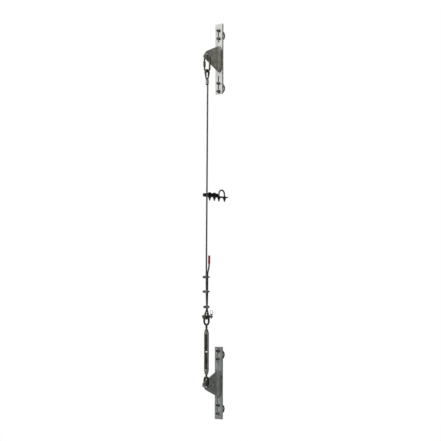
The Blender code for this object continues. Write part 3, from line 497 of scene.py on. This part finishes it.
def add(name, bm, material, body="root", sharp=34.0, bevel=0.0, slot=None, stands_for=()):
    """A finished piece from a bmesh, riding on its body."""
    bmesh.ops.recalc_face_normals(bm, faces=bm.faces)
    mesh = bpy.data.meshes.new(name)
    bm.to_mesh(mesh)
    bm.free()
    mesh.materials.append(MATERIALS[material])
    mesh.shade_smooth()
    mesh.set_sharp_from_angle(angle=math.radians(sharp))
    piece = bpy.data.objects.new(name, mesh)
    bpy.context.scene.collection.objects.link(piece)
    if bevel:
        rounding = piece.modifiers.new("rounded_edges", "BEVEL")
        rounding.width = bevel
        rounding.segments = 2
        rounding.limit_method = "ANGLE"
        rounding.angle_limit = math.radians(32)
        rounding.harden_normals = True
    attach(piece, body)
    if stands_for:
        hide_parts(*stands_for)
    return piece


def stand_in(cad_node, bm, material=None, **settings):
    """A finished piece in place of a CAD node, on the same body, its material named by the node's slot
    unless another is given.
    """
    return add(cad_node + ".fine", bm, material or SLOT_OF[cad_node], BODY_OF[cad_node],
               slot=SLOT_OF[cad_node], stands_for=(cad_node,), **settings)


def cad_shape(cad_node):
    """A CAD node's shape with the facets of each flat face merged."""
    bm = bmesh.new()
    bm.from_mesh(frame["nodes"][cad_node].data)
    bmesh.ops.remove_doubles(bm, verts=bm.verts, dist=0.000002)
    bmesh.ops.dissolve_limit(bm, angle_limit=math.radians(0.6), verts=bm.verts, edges=bm.edges)
    return bm


def refined(cad_node, bevel, material=None):
    """A CAD node's shape with its edges rounded."""
    return stand_in(cad_node, cad_shape(cad_node), material, bevel=bevel)


def forged(cad_node, voxel, keep=None, extra=None, material=None):
    """A CAD node's shape with the soft edges and blends of a forging.

    keep is a plane as (point, direction): what lies beyond it is cut off. extra adds machined shapes.
    """
    bm = cad_shape(cad_node)
    if keep:
        point, outward = keep
        cut = bmesh.ops.bisect_plane(bm, geom=bm.verts[:] + bm.edges[:] + bm.faces[:], plane_co=point,
                                     plane_no=outward, clear_outer=True)
        edges = [item for item in cut["geom_cut"] if isinstance(item, bmesh.types.BMEdge)]
        bmesh.ops.contextual_create(bm, geom=edges)
    mesh = bpy.data.meshes.new("rough")
    bm.to_mesh(mesh)
    bm.free()
    rough = bpy.data.objects.new("rough", mesh)
    bpy.context.scene.collection.objects.link(rough)
    remesh = rough.modifiers.new("remesh", "REMESH")
    remesh.mode = "VOXEL"
    remesh.voxel_size = voxel
    smooth = rough.modifiers.new("smooth", "SMOOTH")
    smooth.factor = 0.5
    smooth.iterations = 3
    shaped = bmesh.new()
    shaped.from_object(rough, bpy.context.evaluated_depsgraph_get())
    bpy.data.objects.remove(rough, do_unlink=True)
    if extra:
        extra(shaped)
    return stand_in(cad_node, shaped, material, sharp=50.0)


def nut(cad_node, flats, height, bore, axis=(0, 0, 1), material=None):
    """A hexagon nut with rounded corners and countersunk bore, in place of a CAD nut."""
    middle = centre(cad_node)
    half, rim = height / 2, 0.0006
    face = flats / 2 * 0.965
    turn = random.uniform(0, FULL_TURN / 6)

    def corner(angle):
        folded = (angle + turn + math.pi / 6) % (math.pi / 3) - math.pi / 6
        return min(flats / 2 / math.cos(folded), flats / 2 * 1.13)

    along, across, other = basis(axis)
    sides = 48
    rings = []
    for kind, rise in (("bore", -half + rim), ("sink", -half), ("face", -half), ("side", -half),
                       ("side", half), ("face", half), ("sink", half), ("bore", half - rim)):
        ring = []
        for i in range(sides):
            angle = FULL_TURN * i / sides
            radius = {"bore": bore, "sink": bore + rim, "face": face, "side": corner(angle)}[kind]
            drop = (radius - face) * BEVEL_SLOPE if kind == "side" else 0.0
            level = rise - math.copysign(drop, rise)
            spoke = across * math.cos(angle) + other * math.sin(angle)
            ring.append(middle + along * level + spoke * radius)
        rings.append(ring)
    return stand_in(cad_node, skin(bmesh.new(), rings, closed=True), material)


def washer(name, middle, axis, outer, bore, thickness, material="threaded_zinc"):
    """A flat washer under a nut."""
    half, edge = thickness / 2, 0.0003
    profile = [(-half, bore), (-half, outer - edge), (-half + edge, outer), (half - edge, outer),
               (half, outer - edge), (half, bore)]
    add(name, lathe(profile, middle, axis, closed=True), material, slot="threaded_zinc")


# Brackets ----------------------------------------------------------------------------------
def u_bolt(cad_node, start, legs, end, spread_half, rod, pitch, thread_length, flat, material=None):
    """A U-bolt with threaded legs; flat is the direction square to its plane."""
    along = Vector(legs)
    across = along.cross(Vector(flat))
    middle = Vector(start)
    step = pitch / 8
    tips = [middle + across * spread_half * s + along * end for s in (1, -1)]
    roots = [tip - along * thread_length for tip in tips]
    turns = [math.pi * i / 36 for i in range(37)]
    bend = [middle - along * spread_half * math.sin(t) + across * spread_half * math.cos(t) for t in turns]
    path = even(tips[0], roots[0], step) + [roots[0]] + bend + [roots[1]]
    path += [point for point in even(roots[1], tips[1], step)][1:] + [tips[1]]
    length = sum((b - a).length for a, b in zip(path, path[1:]))
    size = threaded(rod, pitch, [(0.0, thread_length), (length - thread_length, length)], length)
    bm = tube(path, size, 20, flat)
    # The threaded ends are marked for painted shade, so that they darken like studs in shadow.
    depth = bm.verts.layers.float.new("painted_shade")
    for vert in bm.verts:
        vert[depth] = 1.0 if (vert.co - middle).dot(along) > end - thread_length else 0.0
    return stand_in(cad_node, bm, material)


def weld(cad_node, root_z):
    """A weld bead of overlapping ripples: down the groove, under the foot and up its edge."""
    top, bottom = root_z + GUSSET_HALF_HEIGHT, root_z - GUSSET_HALF_HEIGHT
    groove = Vector((-0.0010, BAR_FRONT - 0.0035, top - 0.006))
    width, height = FOOT_CORNER
    edge = Vector((FOOT_EDGE + 0.0023, BAR_FRONT - 0.0024, top - height - 0.003))
    floor = bottom - 0.0025
    corners = [groove, Vector((groove.x, groove.y, floor)),
               Vector((FOOT_EDGE - width + 0.0014, edge.y, floor)),
               Vector((edge.x, edge.y, bottom + height - 0.0007)), edge]
    path = []
    for start, stop in zip(corners, corners[1:]):
        path += even(start, stop, 0.0004)
    path.append(edge)
    down = (corners[1] - corners[0]).length
    length = sum((b - a).length for a, b in zip(path, path[1:]))

    def ripple(gone, angle):
        width = 1.42 if gone < down - 0.004 else 1.0
        wave = (gone / 0.0026 + 0.16 * math.cos(angle)) % 1.0
        wander = 0.05 * math.sin(gone * 310) + 0.04 * math.sin(gone * 790 + 1)
        ends = min(1.0, 0.45 + gone / 0.004, 0.45 + (length - gone) / 0.004)
        return WELD_RADIUS * width * ends * (0.86 + 0.13 * wave + wander)

    stand_in(cad_node, tube(path, ripple, 12, (0, 1, 0)), sharp=60.0)


def bracket(prefix, rungs, finish, gusset_finish):
    """One end bracket: bar, gusset, weld, U-bolts, washers and nuts."""
    refined(prefix + "_backbone", 0.0007, finish)
    refined(prefix + "_gusset", 0.0006, gusset_finish)
    weld(prefix + "_weld_bead", GUSSET_ROOTS[prefix])
    bend_y = 2 * RUNG_RADIUS + GAP - (UBOLT_SPREAD - UBOLT_ROD)
    number = 0
    for rung, label in zip(rungs, ("upper", "lower")):
        z = RUNG_PITCH * (1.5 - rung)
        u_bolt(f"{prefix}_ubolt_{label}", (0, bend_y, z), (0, -1, 0), bend_y + UBOLT_REACH, UBOLT_SPREAD,
               UBOLT_ROD, CLAMP_PITCH, CLAMP_THREAD, (1, 0, 0), prefix + "_bolt_zinc")
        for side in (1, -1):
            number += 1
            washer(f"{prefix}_washer_{number}", (0, BAR_FRONT - GAP - WASHER_THICKNESS / 2,
                                                 z + side * UBOLT_SPREAD),
                   (0, 1, 0), WASHER_RADIUS, UBOLT_ROD + GAP, WASHER_THICKNESS)
            nut(f"{prefix}_ubolt_nut_{number}", NUT_FLATS, NUT_HEIGHT, UBOLT_ROD + GAP, (0, 1, 0))


# Carabiner ---------------------------------------------------------------------------------
TAPER = math.asin((LINK_TOP_RADIUS - LINK_BOTTOM_RADIUS)
                  / (LINK_LENGTH - LINK_TOP_RADIUS - LINK_BOTTOM_RADIUS))
LINK_BOTTOM_Z = LINK_TOP_Z - LINK_LENGTH
LIMB_UP = Vector((-math.sin(TAPER), 0.0, math.cos(TAPER)))
LIMB_IN = Vector((math.cos(TAPER), 0.0, math.sin(TAPER)))
LIMB_START = Vector((0.0, CABLE_Y, LINK_BOTTOM_Z + LINK_BOTTOM_RADIUS)) - LIMB_IN * LINK_BOTTOM_RADIUS
GATE_PIN = LIMB_START + LIMB_UP * GATE_START
GATE_LENGTH = GATE_END - GATE_START


def limb_box(low, high, half_in, near, far):
    """A box on the gate limb, measured from the hinge pin."""
    rings = []
    for along in (low, high):
        rings.append([GATE_PIN + LIMB_UP * along + LIMB_IN * u + Vector((0, v, 0))
                      for u, v in ((-half_in, near), (half_in, near), (half_in, far), (-half_in, far))])
    return skin(bmesh.new(), rings)


def joined(bm, *tools):
    """A bmesh after cuts and unions with (operation, bmesh) tools."""
    def loose(name, source):
        bmesh.ops.recalc_face_normals(source, faces=source.faces)
        mesh = bpy.data.meshes.new(name)
        source.to_mesh(mesh)
        source.free()
        made = bpy.data.objects.new(name, mesh)
        bpy.context.scene.collection.objects.link(made)
        return made

    target = loose("target", bm)
    others = []
    for operation, source in tools:
        tool = loose("tool", source)
        modifier = target.modifiers.new("join", "BOOLEAN")
        modifier.operation = operation
        modifier.solver = "EXACT"
        modifier.object = tool
        others.append(tool)
    result = bmesh.new()
    result.from_object(target, bpy.context.evaluated_depsgraph_get())
    for item in [target] + others:
        bpy.data.objects.remove(item, do_unlink=True)
    return result


def hinge_hole():
    """The bore for the gate's pin."""
    return lathe([(-0.008, HINGE_RADIUS), (0.008, HINGE_RADIUS)], GATE_PIN, (0, 1, 0), 24)


def carabiner():
    """The nearly oval link, its gate and pin, and the knurled locking sleeve."""
    angle = math.degrees(TAPER)
    low = arc((0.0, LINK_BOTTOM_Z + LINK_BOTTOM_RADIUS), LINK_BOTTOM_RADIUS, 180 + angle, 360 - angle, 36)
    high = arc((0.0, LINK_TOP_Z - LINK_TOP_RADIUS), LINK_TOP_RADIUS, -angle, 180 + angle, 56)
    nose_root = LIMB_START + LIMB_UP * (GATE_END + 0.0035)
    nose_end = LIMB_START + LIMB_UP * (GATE_END + 0.0004)
    ring = [Vector((x, CABLE_Y, z)) for x, z in low + high]
    path = [GATE_PIN + LIMB_UP * 0.0045] + ring + [nose_root, nose_end]
    nose = sum((b - a).length for a, b in zip(path, path[1:-1]))

    def thickness(gone, turn):
        return LINK_ROD if gone < nose - 0.0002 else GATE_RADIUS

    cheeks = [("DIFFERENCE", limb_box(-0.0056, 0.009, 0.010, side * 0.0023, side * 0.010))
              for side in (-1, 1)]
    tang = limb_box(GATE_LENGTH - 0.0036, GATE_LENGTH + 0.0015, 0.0022, -0.0014, 0.0014)
    body = joined(tube(path, thickness, 32, (0, 1, 0)), *cheeks, ("UNION", tang),
                  ("DIFFERENCE", hinge_hole()))
    stand_in("carabiner_body", body, bevel=0.0003)

    length = GATE_LENGTH + 0.0043
    gate_path = [GATE_PIN + LIMB_UP * (length * i / 24 - 0.0043) for i in range(25)]

    def gate_size(gone, turn):
        foot = math.sqrt(max(0.0, 1 - max(0.0, 1 - gone / 0.0045) ** 2))
        return GATE_RADIUS * max(0.5, foot) * (0.9 if gone > length - 0.0004 else 1.0)

    slots = [limb_box(-0.010, 0.0075, 0.010, -0.0026, 0.0026),
             limb_box(GATE_LENGTH - 0.0042, GATE_LENGTH + 0.002, 0.010, -0.0018, 0.0018),
             hinge_hole()]
    gate = joined(tube(gate_path, gate_size, 32, (0, 1, 0)), *[("DIFFERENCE", slot) for slot in slots])
    stand_in("carabiner_gate", gate, bevel=0.0002)

    pin = [(-0.0050, 0.0009), (-0.0048, 0.0013), (-0.0044, 0.0015), (0.0044, 0.0015), (0.0048, 0.0013),
           (0.0050, 0.0009)]
    stand_in("carabiner_gate_pin", lathe(pin, GATE_PIN, (0, 1, 0), 24))

    bore = GATE_RADIUS + GAP
    outside = [(0.0, bore), (0.0, SLEEVE_RADIUS - 0.0010), (0.0004, SLEEVE_RADIUS - 0.0004),
               (0.0010, SLEEVE_RADIUS)]
    knurl_low, knurl_high = 0.0035, SLEEVE_LENGTH - 0.0035
    outside += [(knurl_low + (knurl_high - knurl_low) * i / 64, SLEEVE_RADIUS) for i in range(65)]
    outside += [(SLEEVE_LENGTH - 0.0010, SLEEVE_RADIUS), (SLEEVE_LENGTH - 0.0004, SLEEVE_RADIUS - 0.0004),
                (SLEEVE_LENGTH, SLEEVE_RADIUS - 0.0010), (SLEEVE_LENGTH, bore)]

    def knurl(rise, turn):
        if not knurl_low <= rise <= knurl_high:
            return 1.0
        first = abs(math.sin(15 * turn + rise * 2000))
        second = abs(math.sin(15 * turn - rise * 2000))
        return 1.0 - 0.045 * (1 - min(first, second))

    sleeve = lathe(outside, GATE_PIN + LIMB_UP * SLEEVE_START, LIMB_UP, 120, closed=True, shape=knurl)
    stand_in("carabiner_lock_sleeve", sleeve, sharp=70.0)


# Wire rope ---------------------------------------------------------------------------------
def eased(share):
    """A share from 0 to 1 with a gentle start and end."""
    share = min(max(share, 0.0), 1.0)
    return share * share * (3 - 2 * share)


def beside(offset, z, turn):
    """A point at an offset from the line of pull, in a vertical plane turned from the YZ plane."""
    angle = math.radians(turn)
    return Vector((-offset * math.sin(angle), CABLE_Y + offset * math.cos(angle), z))


def eye_half_width(drop):
    """Half width of a rope eye at a distance from the centre of its round crown."""
    share = drop / EYE_LENGTH
    return PAIR + (EYE_RADIUS - PAIR) * (1 - share ** 1.5) * (1 - 0.25 * share)


def eye_route(centre_z, up, turn, twist, shift, reach, steps):
    """Centreline of a rope eye from its front leg over the crown to its rear leg."""
    drops = [reach * i / steps for i in range(steps, 0, -1)]
    front = [(-eye_half_width(drop), -drop) for drop in drops]
    rear = [(eye_half_width(drop), -drop) for drop in reversed(drops)]
    route = []
    for offset, rise in front + arc((0, 0), EYE_RADIUS, 180, 0, 30) + rear:
        share = -rise / EYE_LENGTH
        angle = turn + (twist - turn) * eased((share - 0.5) / 0.5)
        route.append(beside(offset, centre_z + up * rise, angle) + Vector((0, shift * eased(share), 0)))
    return route


def pair_twist(z):
    """How far the clipped pair of ropes is turned at a height, in degrees."""
    rows = list(zip(CLIP_HEIGHTS, CLIP_TWISTS))
    for (high, before), (low, after) in zip(rows, rows[1:]):
        if z >= low:
            return before + (after - before) * eased((high - z) / (high - low))
    return rows[-1][1]


def paired(z, side):
    """Centre of the front (-1) or rear (1) rope of the clipped pair at a height."""
    return beside(side * PAIR, z, pair_twist(z)) + Vector((0, PAIR_SHIFT, 0))


def cable_route():
    """The rope from its swaged tail over the top eye, down to the bottom eye and back up."""
    top = eye_route(TOP_EYE_Z, 1, 0.0, 0.0, 0.0, EYE_LENGTH, 14)
    bottom = eye_route(BOTTOM_EYE_Z, -1, EYE_TURN, CLIP_TWISTS[-1], PAIR_SHIFT, EYE_LENGTH, 14)
    tail = [Vector((0, CABLE_Y - PAIR, z)) for z in (FERRULE_BOTTOM - 0.004, FERRULE_TOP - 0.02)]
    leave = FERRULE_BOTTOM - 0.005
    arrive = CLIP_HEIGHTS[0] + 0.075
    lead = [Vector((0, CABLE_Y + PAIR, FERRULE_TOP - 0.02)), Vector((0, CABLE_Y + PAIR, leave))]
    span = []
    for i in range(1, 36):
        share = i / 36
        offset = PAIR * (1 - 2 * share) + PAIR_SHIFT * share
        span.append(Vector((0, CABLE_Y + offset, leave + (arrive - leave) * share)))
    foot = BOTTOM_EYE_Z + EYE_LENGTH
    count = 3 * round((arrive - foot) / 0.014)
    heights = [arrive + (foot - arrive) * i / count for i in range(count)]
    live = [paired(z, -1) for z in heights]
    release = CLIP_HEIGHTS[0] + 0.016
    dead = [paired(z, 1) for z in reversed(heights) if z < release]
    start = dead[-1]
    rise = CAP_HIGH - 0.004 - start.z
    for i in range(1, 34):
        share = i / 33
        dead.append(start + Vector((0, 0.0115 * eased(share / 0.5) + 0.001 * share, rise * share)))
    return tail + top + lead + span + live + bottom + dead


def resampled(points, step):
    """The same path with points at an even step, its corners eased."""
    result = [points[0]]
    left = step
    for start, end in zip(points, points[1:]):
        length = (end - start).length
        while left <= length:
            result.append(start.lerp(end, left / length))
            left += step
        left -= length
    for _ in range(3):
        result = ([result[0]] + [(a + 2 * b + c) / 4 for a, b, c in zip(result, result[1:], result[2:])]
                  + [result[-1]])
    return result


def wire_rope():
    """Six strands of wires laid around a core along the cable's route."""
    strands, wires, lay, wire_lay = 6, 9, 0.060, 0.038
    strand_radius = CABLE_RADIUS / 3
    route = stations(resampled(cable_route(), 0.0026), (1, 0, 0))
    bm = bmesh.new()
    # The grooves between the wires (every second vertex) are marked for painted shade.
    depth = bm.verts.layers.float.new("painted_shade")
    for number in range(strands):
        path = []
        for gone, point, side, normal in route:
            angle = FULL_TURN * (gone / lay + number / strands)
            path.append(point + (side * math.cos(angle) + normal * math.sin(angle)) * 2 * strand_radius)
        loops = []
        for gone, point, side, normal in stations(path, (1, 0, 0)):
            loop = []
            for i in range(2 * wires):
                angle = FULL_TURN * (i / (2 * wires) - gone / wire_lay)
                size = strand_radius * (1.0 if i % 2 == 0 else 0.84)
                vert = bm.verts.new(point + (side * math.cos(angle) + normal * math.sin(angle)) * size)
                vert[depth] = i % 2
                loop.append(vert)
            loops.append(loop)
        for low, high in zip(loops, loops[1:]):
            for i in range(2 * wires):
                j = (i + 1) % (2 * wires)
                bm.faces.new((low[i], low[j], high[j], high[i]))
        bm.faces.new(loops[0])
        bm.faces.new(loops[-1])
    tube([point for gone, point, side, normal in route[::4]], strand_radius * 1.05, 8, bm=bm)
    stand_in("lifeline_cable", bm, sharp=85.0)


def thimble(cad_node, centre_z, up, turn, shift):
    """A bent gutter of zinc-plated steel that lines a rope eye."""
    inner, outer = CABLE_RADIUS + GAP, THIMBLE_DEPTH
    wall = arc((0, 0), outer, 4, 176, 16) + arc((0, 0), inner, 176, 4, 16)
    route = stations(eye_route(centre_z, up, turn, turn, shift, EYE_LENGTH * 0.45, 10),
                     (math.cos(math.radians(turn)), math.sin(math.radians(turn)), 0))
    rings = [[point + side * u + normal * v * up for u, v in wall] for gone, point, side, normal in route]
    stand_in(cad_node, skin(bmesh.new(), rings), "thimble_steel", bevel=0.0002)


def capsule(radius, steps=12):
    """Outline around the pair of ropes, lying side by side along Y."""
    return arc((0, PAIR), radius, 0, 180, steps) + arc((0, -PAIR), radius, 180, 360, steps)


def ferrule():
    """The swaged aluminium sleeve: oval, with three pressed bands and flash along its sides."""
    wall = 0.0026
    length = FERRULE_TOP - FERRULE_BOTTOM
    rings = [[Vector((u, CABLE_Y + v, FERRULE_BOTTOM)) for u, v in capsule(CABLE_RADIUS + GAP)]]
    for i in range(57):
        share = i / 56
        z = FERRULE_BOTTOM + length * share
        ends = math.sqrt(min(1.0, min(share, 1 - share) * length / 0.0014 + 0.02))
        pressed = 0.0005 * max(0.0, math.sin(math.pi * (share * 3.0 % 1.0))) ** 0.5
        ring = []
        for u, v in capsule(CABLE_RADIUS + wall * (0.45 + 0.55 * ends) - pressed):
            flash = 0.0004 if abs(v) < 0.0016 else 0.0
            ring.append(Vector((u + math.copysign(flash, u), CABLE_Y + v, z)))
        rings.append(ring)
    rings.append([Vector((u, CABLE_Y + v, FERRULE_TOP)) for u, v in capsule(CABLE_RADIUS + GAP)])
    stand_in("top_ferrule", skin(bmesh.new(), rings, closed=True), sharp=45.0)


def end_cap():
    """The vinyl cap on the dead end: a soft cup with a rolled lip."""
    route = [point for point in cable_route()[-36:] if point.z >= CAP_LOW]
    onward = (route[-1] - route[-2]).normalized()
    route = resampled(route + [route[-1] + onward * 0.0006], 0.001)
    places = stations(route, (1, 0, 0))
    inner, outer = CABLE_RADIUS + GAP, CABLE_RADIUS + 0.0018
    sides = 28

    def ring(place, radius, rise=0.0):
        gone, point, side, normal = place
        turns = [FULL_TURN * i / sides for i in range(sides)]
        return [point + onward * rise + (side * math.cos(t) + normal * math.sin(t)) * radius for t in turns]

    rings = [ring(place, inner) for place in reversed(places)]
    for place in places:
        lip = 0.0004 * math.exp(-((place[0] - 0.0016) / 0.0009) ** 2)
        rings.append(ring(place, outer - 0.0004 + lip + 0.00005 * math.sin(place[0] * 900)))
    for share in (0.2, 0.4, 0.6, 0.75, 0.88, 0.97):
        rings.append(ring(places[-1], (outer - 0.0004) * math.sqrt(1 - share ** 2), 0.0028 * share))
    stand_in("cable_end_cap", skin(bmesh.new(), rings), sharp=60.0)


def rope_clip(number, height, twist):
    """A wire rope clip: threaded U-bolt, forged saddle and two nuts."""
    name = f"clip{number}"
    turn = math.radians(twist)
    forward = Vector((math.sin(turn), -math.cos(turn), 0))
    origin = Vector((0, CABLE_Y + PAIR_SHIFT, height))
    bend_y = PAIR + CABLE_RADIUS + GAP + CLIP_ROD - CLIP_SPREAD
    u_bolt(name + "_ubolt", origin - forward * bend_y, forward, bend_y - CLIP_LEG_END, CLIP_SPREAD, CLIP_ROD,
           CLIP_PITCH, CLIP_THREAD, (0, 0, 1))
    forged(name + "_saddle", 0.00045, material="clip_steel")
    for label in ("left", "right"):
        nut(f"{name}_nut_{label}", CLIP_NUT_FLATS, CLIP_NUT_HEIGHT, CLIP_ROD + GAP, forward)


# Turnbuckle --------------------------------------------------------------------------------
def jaw(prefix, pin_z, down, turn):
    """A forged jaw with its threaded rod, jam nut, jaw pin, linch pin and ring."""
    swing = math.radians(turn)
    across = Vector((math.cos(swing), math.sin(swing), 0))
    origin = Vector((0, CABLE_Y, pin_z))
    inward = Vector((0, 0, -down))
    rod_length = abs(pin_z - BODY_Z) - 0.003 - JAW_BASE + 0.002
    start = origin + inward * (JAW_BASE - 0.002)
    end = start + inward * rod_length
    clear = 0.006
    size = threaded(ROD_RADIUS, JAW_PITCH, [(clear, rod_length)], rod_length, 0.0015)

    def with_rod(bm):
        path = [start] + even(start + inward * clear, end, JAW_PITCH / 8) + [end]
        tube(path, lambda gone, angle: ROD_RADIUS if gone < clear else size(gone, angle), 24, bm=bm)

    forged(prefix + "_jaw", 0.0006, (origin + inward * (JAW_BASE + 0.0008), inward), with_rod, "jaw_steel")
    nut(prefix + "_jam_nut", JAM_FLATS, JAM_HEIGHT, ROD_RADIUS + GAP)

    neck = -JAW_OUTSIDE - GAP
    profile = [(PIN_HEAD, 0.0076), (PIN_HEAD + 0.0003, 0.0086), (PIN_HEAD + 0.0012, 0.0095),
               (neck - 0.0006, 0.0095), (neck, 0.0090), (neck, PIN_RADIUS), (PIN_TIP - 0.0016, PIN_RADIUS),
               (PIN_TIP - 0.0005, PIN_RADIUS - 0.0008), (PIN_TIP, PIN_RADIUS - 0.0018)]
    hole = lathe([(-0.010, LINCH_RADIUS + GAP), (0.010, LINCH_RADIUS + GAP)], origin + across * LINCH_X,
                 (0, 0, 1), 24)
    pin = joined(lathe(profile, origin, across, 44), ("DIFFERENCE", hole))
    stand_in(prefix + "_jaw_pin", pin)

    seat = PIN_RADIUS + GAP
    shank = [(-0.0135, 0.0008), (-0.0130, 0.0014), (-0.0112, LINCH_RADIUS), (-0.0098, LINCH_RADIUS),
             (-0.0095, LINCH_RADIUS - 0.0005), (-0.0088, LINCH_RADIUS - 0.0005), (-0.0085, LINCH_RADIUS),
             (seat, LINCH_RADIUS), (seat, 0.0041), (seat + 0.0005, 0.0045), (0.0146, 0.0045),
             (0.0154, 0.0039), (0.0158, 0.0028)]
    pivot = origin + across * LINCH_X
    eye = lathe([(-0.008, RING_WIRE + GAP), (0.008, RING_WIRE + GAP)],
                pivot + Vector((0, 0, LINCH_PIVOT)), across, 20)
    stand_in(prefix + "_linch_pin", joined(lathe(shank, pivot, (0, 0, 1), 28), ("DIFFERENCE", eye)))

    foot = 0.0068
    loop = arc((0, 0.0150), 0.0085, -42, 222, 48)
    wire = [(foot - 0.0012, 0.0), (foot - 0.0004, 0.0004), (foot, 0.0012)] + loop
    wire += [(-foot, 0.0012), (-foot + 0.0004, 0.0004), (-foot + 0.0012, 0.0)]
    outline = [pivot + Vector((0, 0, LINCH_PIVOT + z)) + across * x for x, z in wire]
    side = Vector((-math.sin(swing), math.cos(swing), 0))
    stand_in(prefix + "_linch_ring", tube(outline, RING_WIRE, 14, side, closed=True), "threaded_zinc")


def turnbuckle():
    """The forged open body and its two jaws."""
    forged("turnbuckle_body", 0.0007)
    jaw("upper", UPPER_PIN_Z, 1, JAW_TURN)
    jaw("lower", LOWER_PIN_Z, -1, 0.0)


# Cable guide -------------------------------------------------------------------------------
def cable_guide():
    """The guide on a middle rung: steel arm, moulded block, U-bolt, bolts, washers and nuts."""
    # The arm, nuts, washers and bolts take the near-black zinc: painted shade on galvanised steel.
    refined("guide_arm", 0.0006, "shaded_zinc")
    refined("guide_block", 0.0012)
    arm_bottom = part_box("guide_arm")[0].z
    bend_z = GUIDE_RUNG_Z + RUNG_RADIUS + GAP - (UBOLT_SPREAD - UBOLT_ROD)
    u_bolt("guide_ubolt", (0, RUNG_RADIUS, bend_z), (0, 0, -1), bend_z - (arm_bottom - 0.022), UBOLT_SPREAD,
           UBOLT_ROD, CLAMP_PITCH, CLAMP_THREAD, (1, 0, 0), "guide_bolt_zinc")
    for kind in ("ubolt", "block"):
        for label in ("front", "rear"):
            nut_node = f"guide_{kind}_nut_{label}"
            middle = centre(nut_node)
            nut(nut_node, GUIDE_NUT_FLATS, NUT_HEIGHT, BOLT_RADIUS + GAP, material="shaded_zinc")
            washer(f"guide_{kind}_washer_{label}", (0, middle.y, arm_bottom - GAP - WASHER_THICKNESS / 2),
                   (0, 0, 1), GUIDE_WASHER_RADIUS, BOLT_RADIUS + GAP, WASHER_THICKNESS, "shaded_zinc")
    for label in ("front", "rear"):
        guide_bolt(f"guide_block_bolt_{label}")


def guide_bolt(cad_node):
    """A hexagon-head bolt with a chamfered head and a threaded end."""
    low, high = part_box(cad_node)
    y = centre(cad_node).y
    seat = high.z - BOLT_HEAD
    size = threaded(BOLT_RADIUS, CLAMP_PITCH, [(0.0, BOLT_THREAD)], seat - low.z)
    root = Vector((0, y, low.z + BOLT_THREAD))
    path = even((0, y, low.z), root, CLAMP_PITCH / 8) + [root, Vector((0, y, seat + 0.001))]
    bm = tube(path, lambda gone, angle: BOLT_RADIUS if gone > BOLT_THREAD else size(gone, angle), 20)
    face = GUIDE_NUT_FLATS / 2 * 0.95
    rings = []
    for kind, rise in (("face", 0.0), ("side", 0.0), ("side", BOLT_HEAD), ("face", BOLT_HEAD)):
        ring = []
        for i in range(48):
            angle = FULL_TURN * i / 48
            folded = (angle + math.pi / 6) % (math.pi / 3) - math.pi / 6
            radius = GUIDE_NUT_FLATS / 2 / math.cos(folded) if kind == "side" else face
            drop = (radius - face) * BEVEL_SLOPE
            level = seat + (rise - drop if rise else 0.0)
            ring.append(Vector((radius * math.cos(angle), y + radius * math.sin(angle), level)))
        rings.append(ring)
    # Near-black zinc: painted shade on a galvanised bolt.
    stand_in(cad_node, skin(bm, rings), "shaded_zinc")


# Stage and light ---------------------------------------------------------------------------
def stage():
    """A pale floor below the hanging kit, a white backdrop and soft studio light."""
    material, tree, shader, place = begin("pale_floor")
    tree.links.new(ramp(tree, noise(tree, place, 2.0), [(0.3, (246, 246, 245)), (0.7, (250, 250, 250))]),
                   shader.inputs["Base Color"])
    shader.inputs["Roughness"].default_value = 0.9
    bm = bmesh.new()
    rim = [bm.verts.new((x, y, FLOOR_Z)) for x, y in arc((0, 0), FLOOR_RADIUS, 0, 357, 119)]
    bm.faces.new(rim)
    mesh = bpy.data.meshes.new("floor")
    bm.to_mesh(mesh)
    bm.free()
    mesh.materials.append(material)
    floor = bpy.data.objects.new("floor", mesh)
    bpy.context.scene.collection.objects.link(floor)

    world = bpy.data.worlds.new("studio")
    bpy.context.scene.world = world
    world.use_nodes = True
    sky = world.node_tree
    background = sky.nodes["Background"]
    direction = node(sky, "TexCoord").outputs["Generated"]
    facing = node(sky, "VectorMath", {0: direction, 1: GLOW_FROM},
                  operation="DOT_PRODUCT").outputs["Value"]
    glow = spread(sky, facing, -0.6, 0.95, 0.08, 0.62)
    white = node(sky, "LightPath").outputs["Is Camera Ray"]
    strength = maths(sky, "MAXIMUM", glow, white)
    sky.links.new(strength, background.inputs["Strength"])
    background.inputs["Color"].default_value = (1.0, 1.0, 1.0, 1.0)
    for name, place, size, power in LIGHTS:
        light = bpy.data.objects.new(name, bpy.data.lights.new(name, "AREA"))
        light.data.size = size
        light.data.energy = power
        light.location = place
        aim = LIGHTS_AIM - Vector(place)
        light.rotation_euler = aim.to_track_quat("-Z", "Y").to_euler()
        bpy.context.scene.collection.objects.link(light)
    bpy.context.scene.view_settings.view_transform = "Standard"


add_camera()
bracket("top", (1, 2), "bright_zinc", "gusset_steel")
bracket("bottom", (7, 8), "weathered_zinc", "bottom_gusset")
carabiner()
wire_rope()
thimble("top_thimble", TOP_EYE_Z, 1, 0.0, 0.0)
thimble("bottom_thimble", BOTTOM_EYE_Z, -1, EYE_TURN, PAIR_SHIFT)
ferrule()
end_cap()
for clip_number, (clip_height, clip_twist) in enumerate(zip(CLIP_HEIGHTS, CLIP_TWISTS), start=1):
    rope_clip(clip_number, clip_height, clip_twist)
turnbuckle()
cable_guide()
stage()
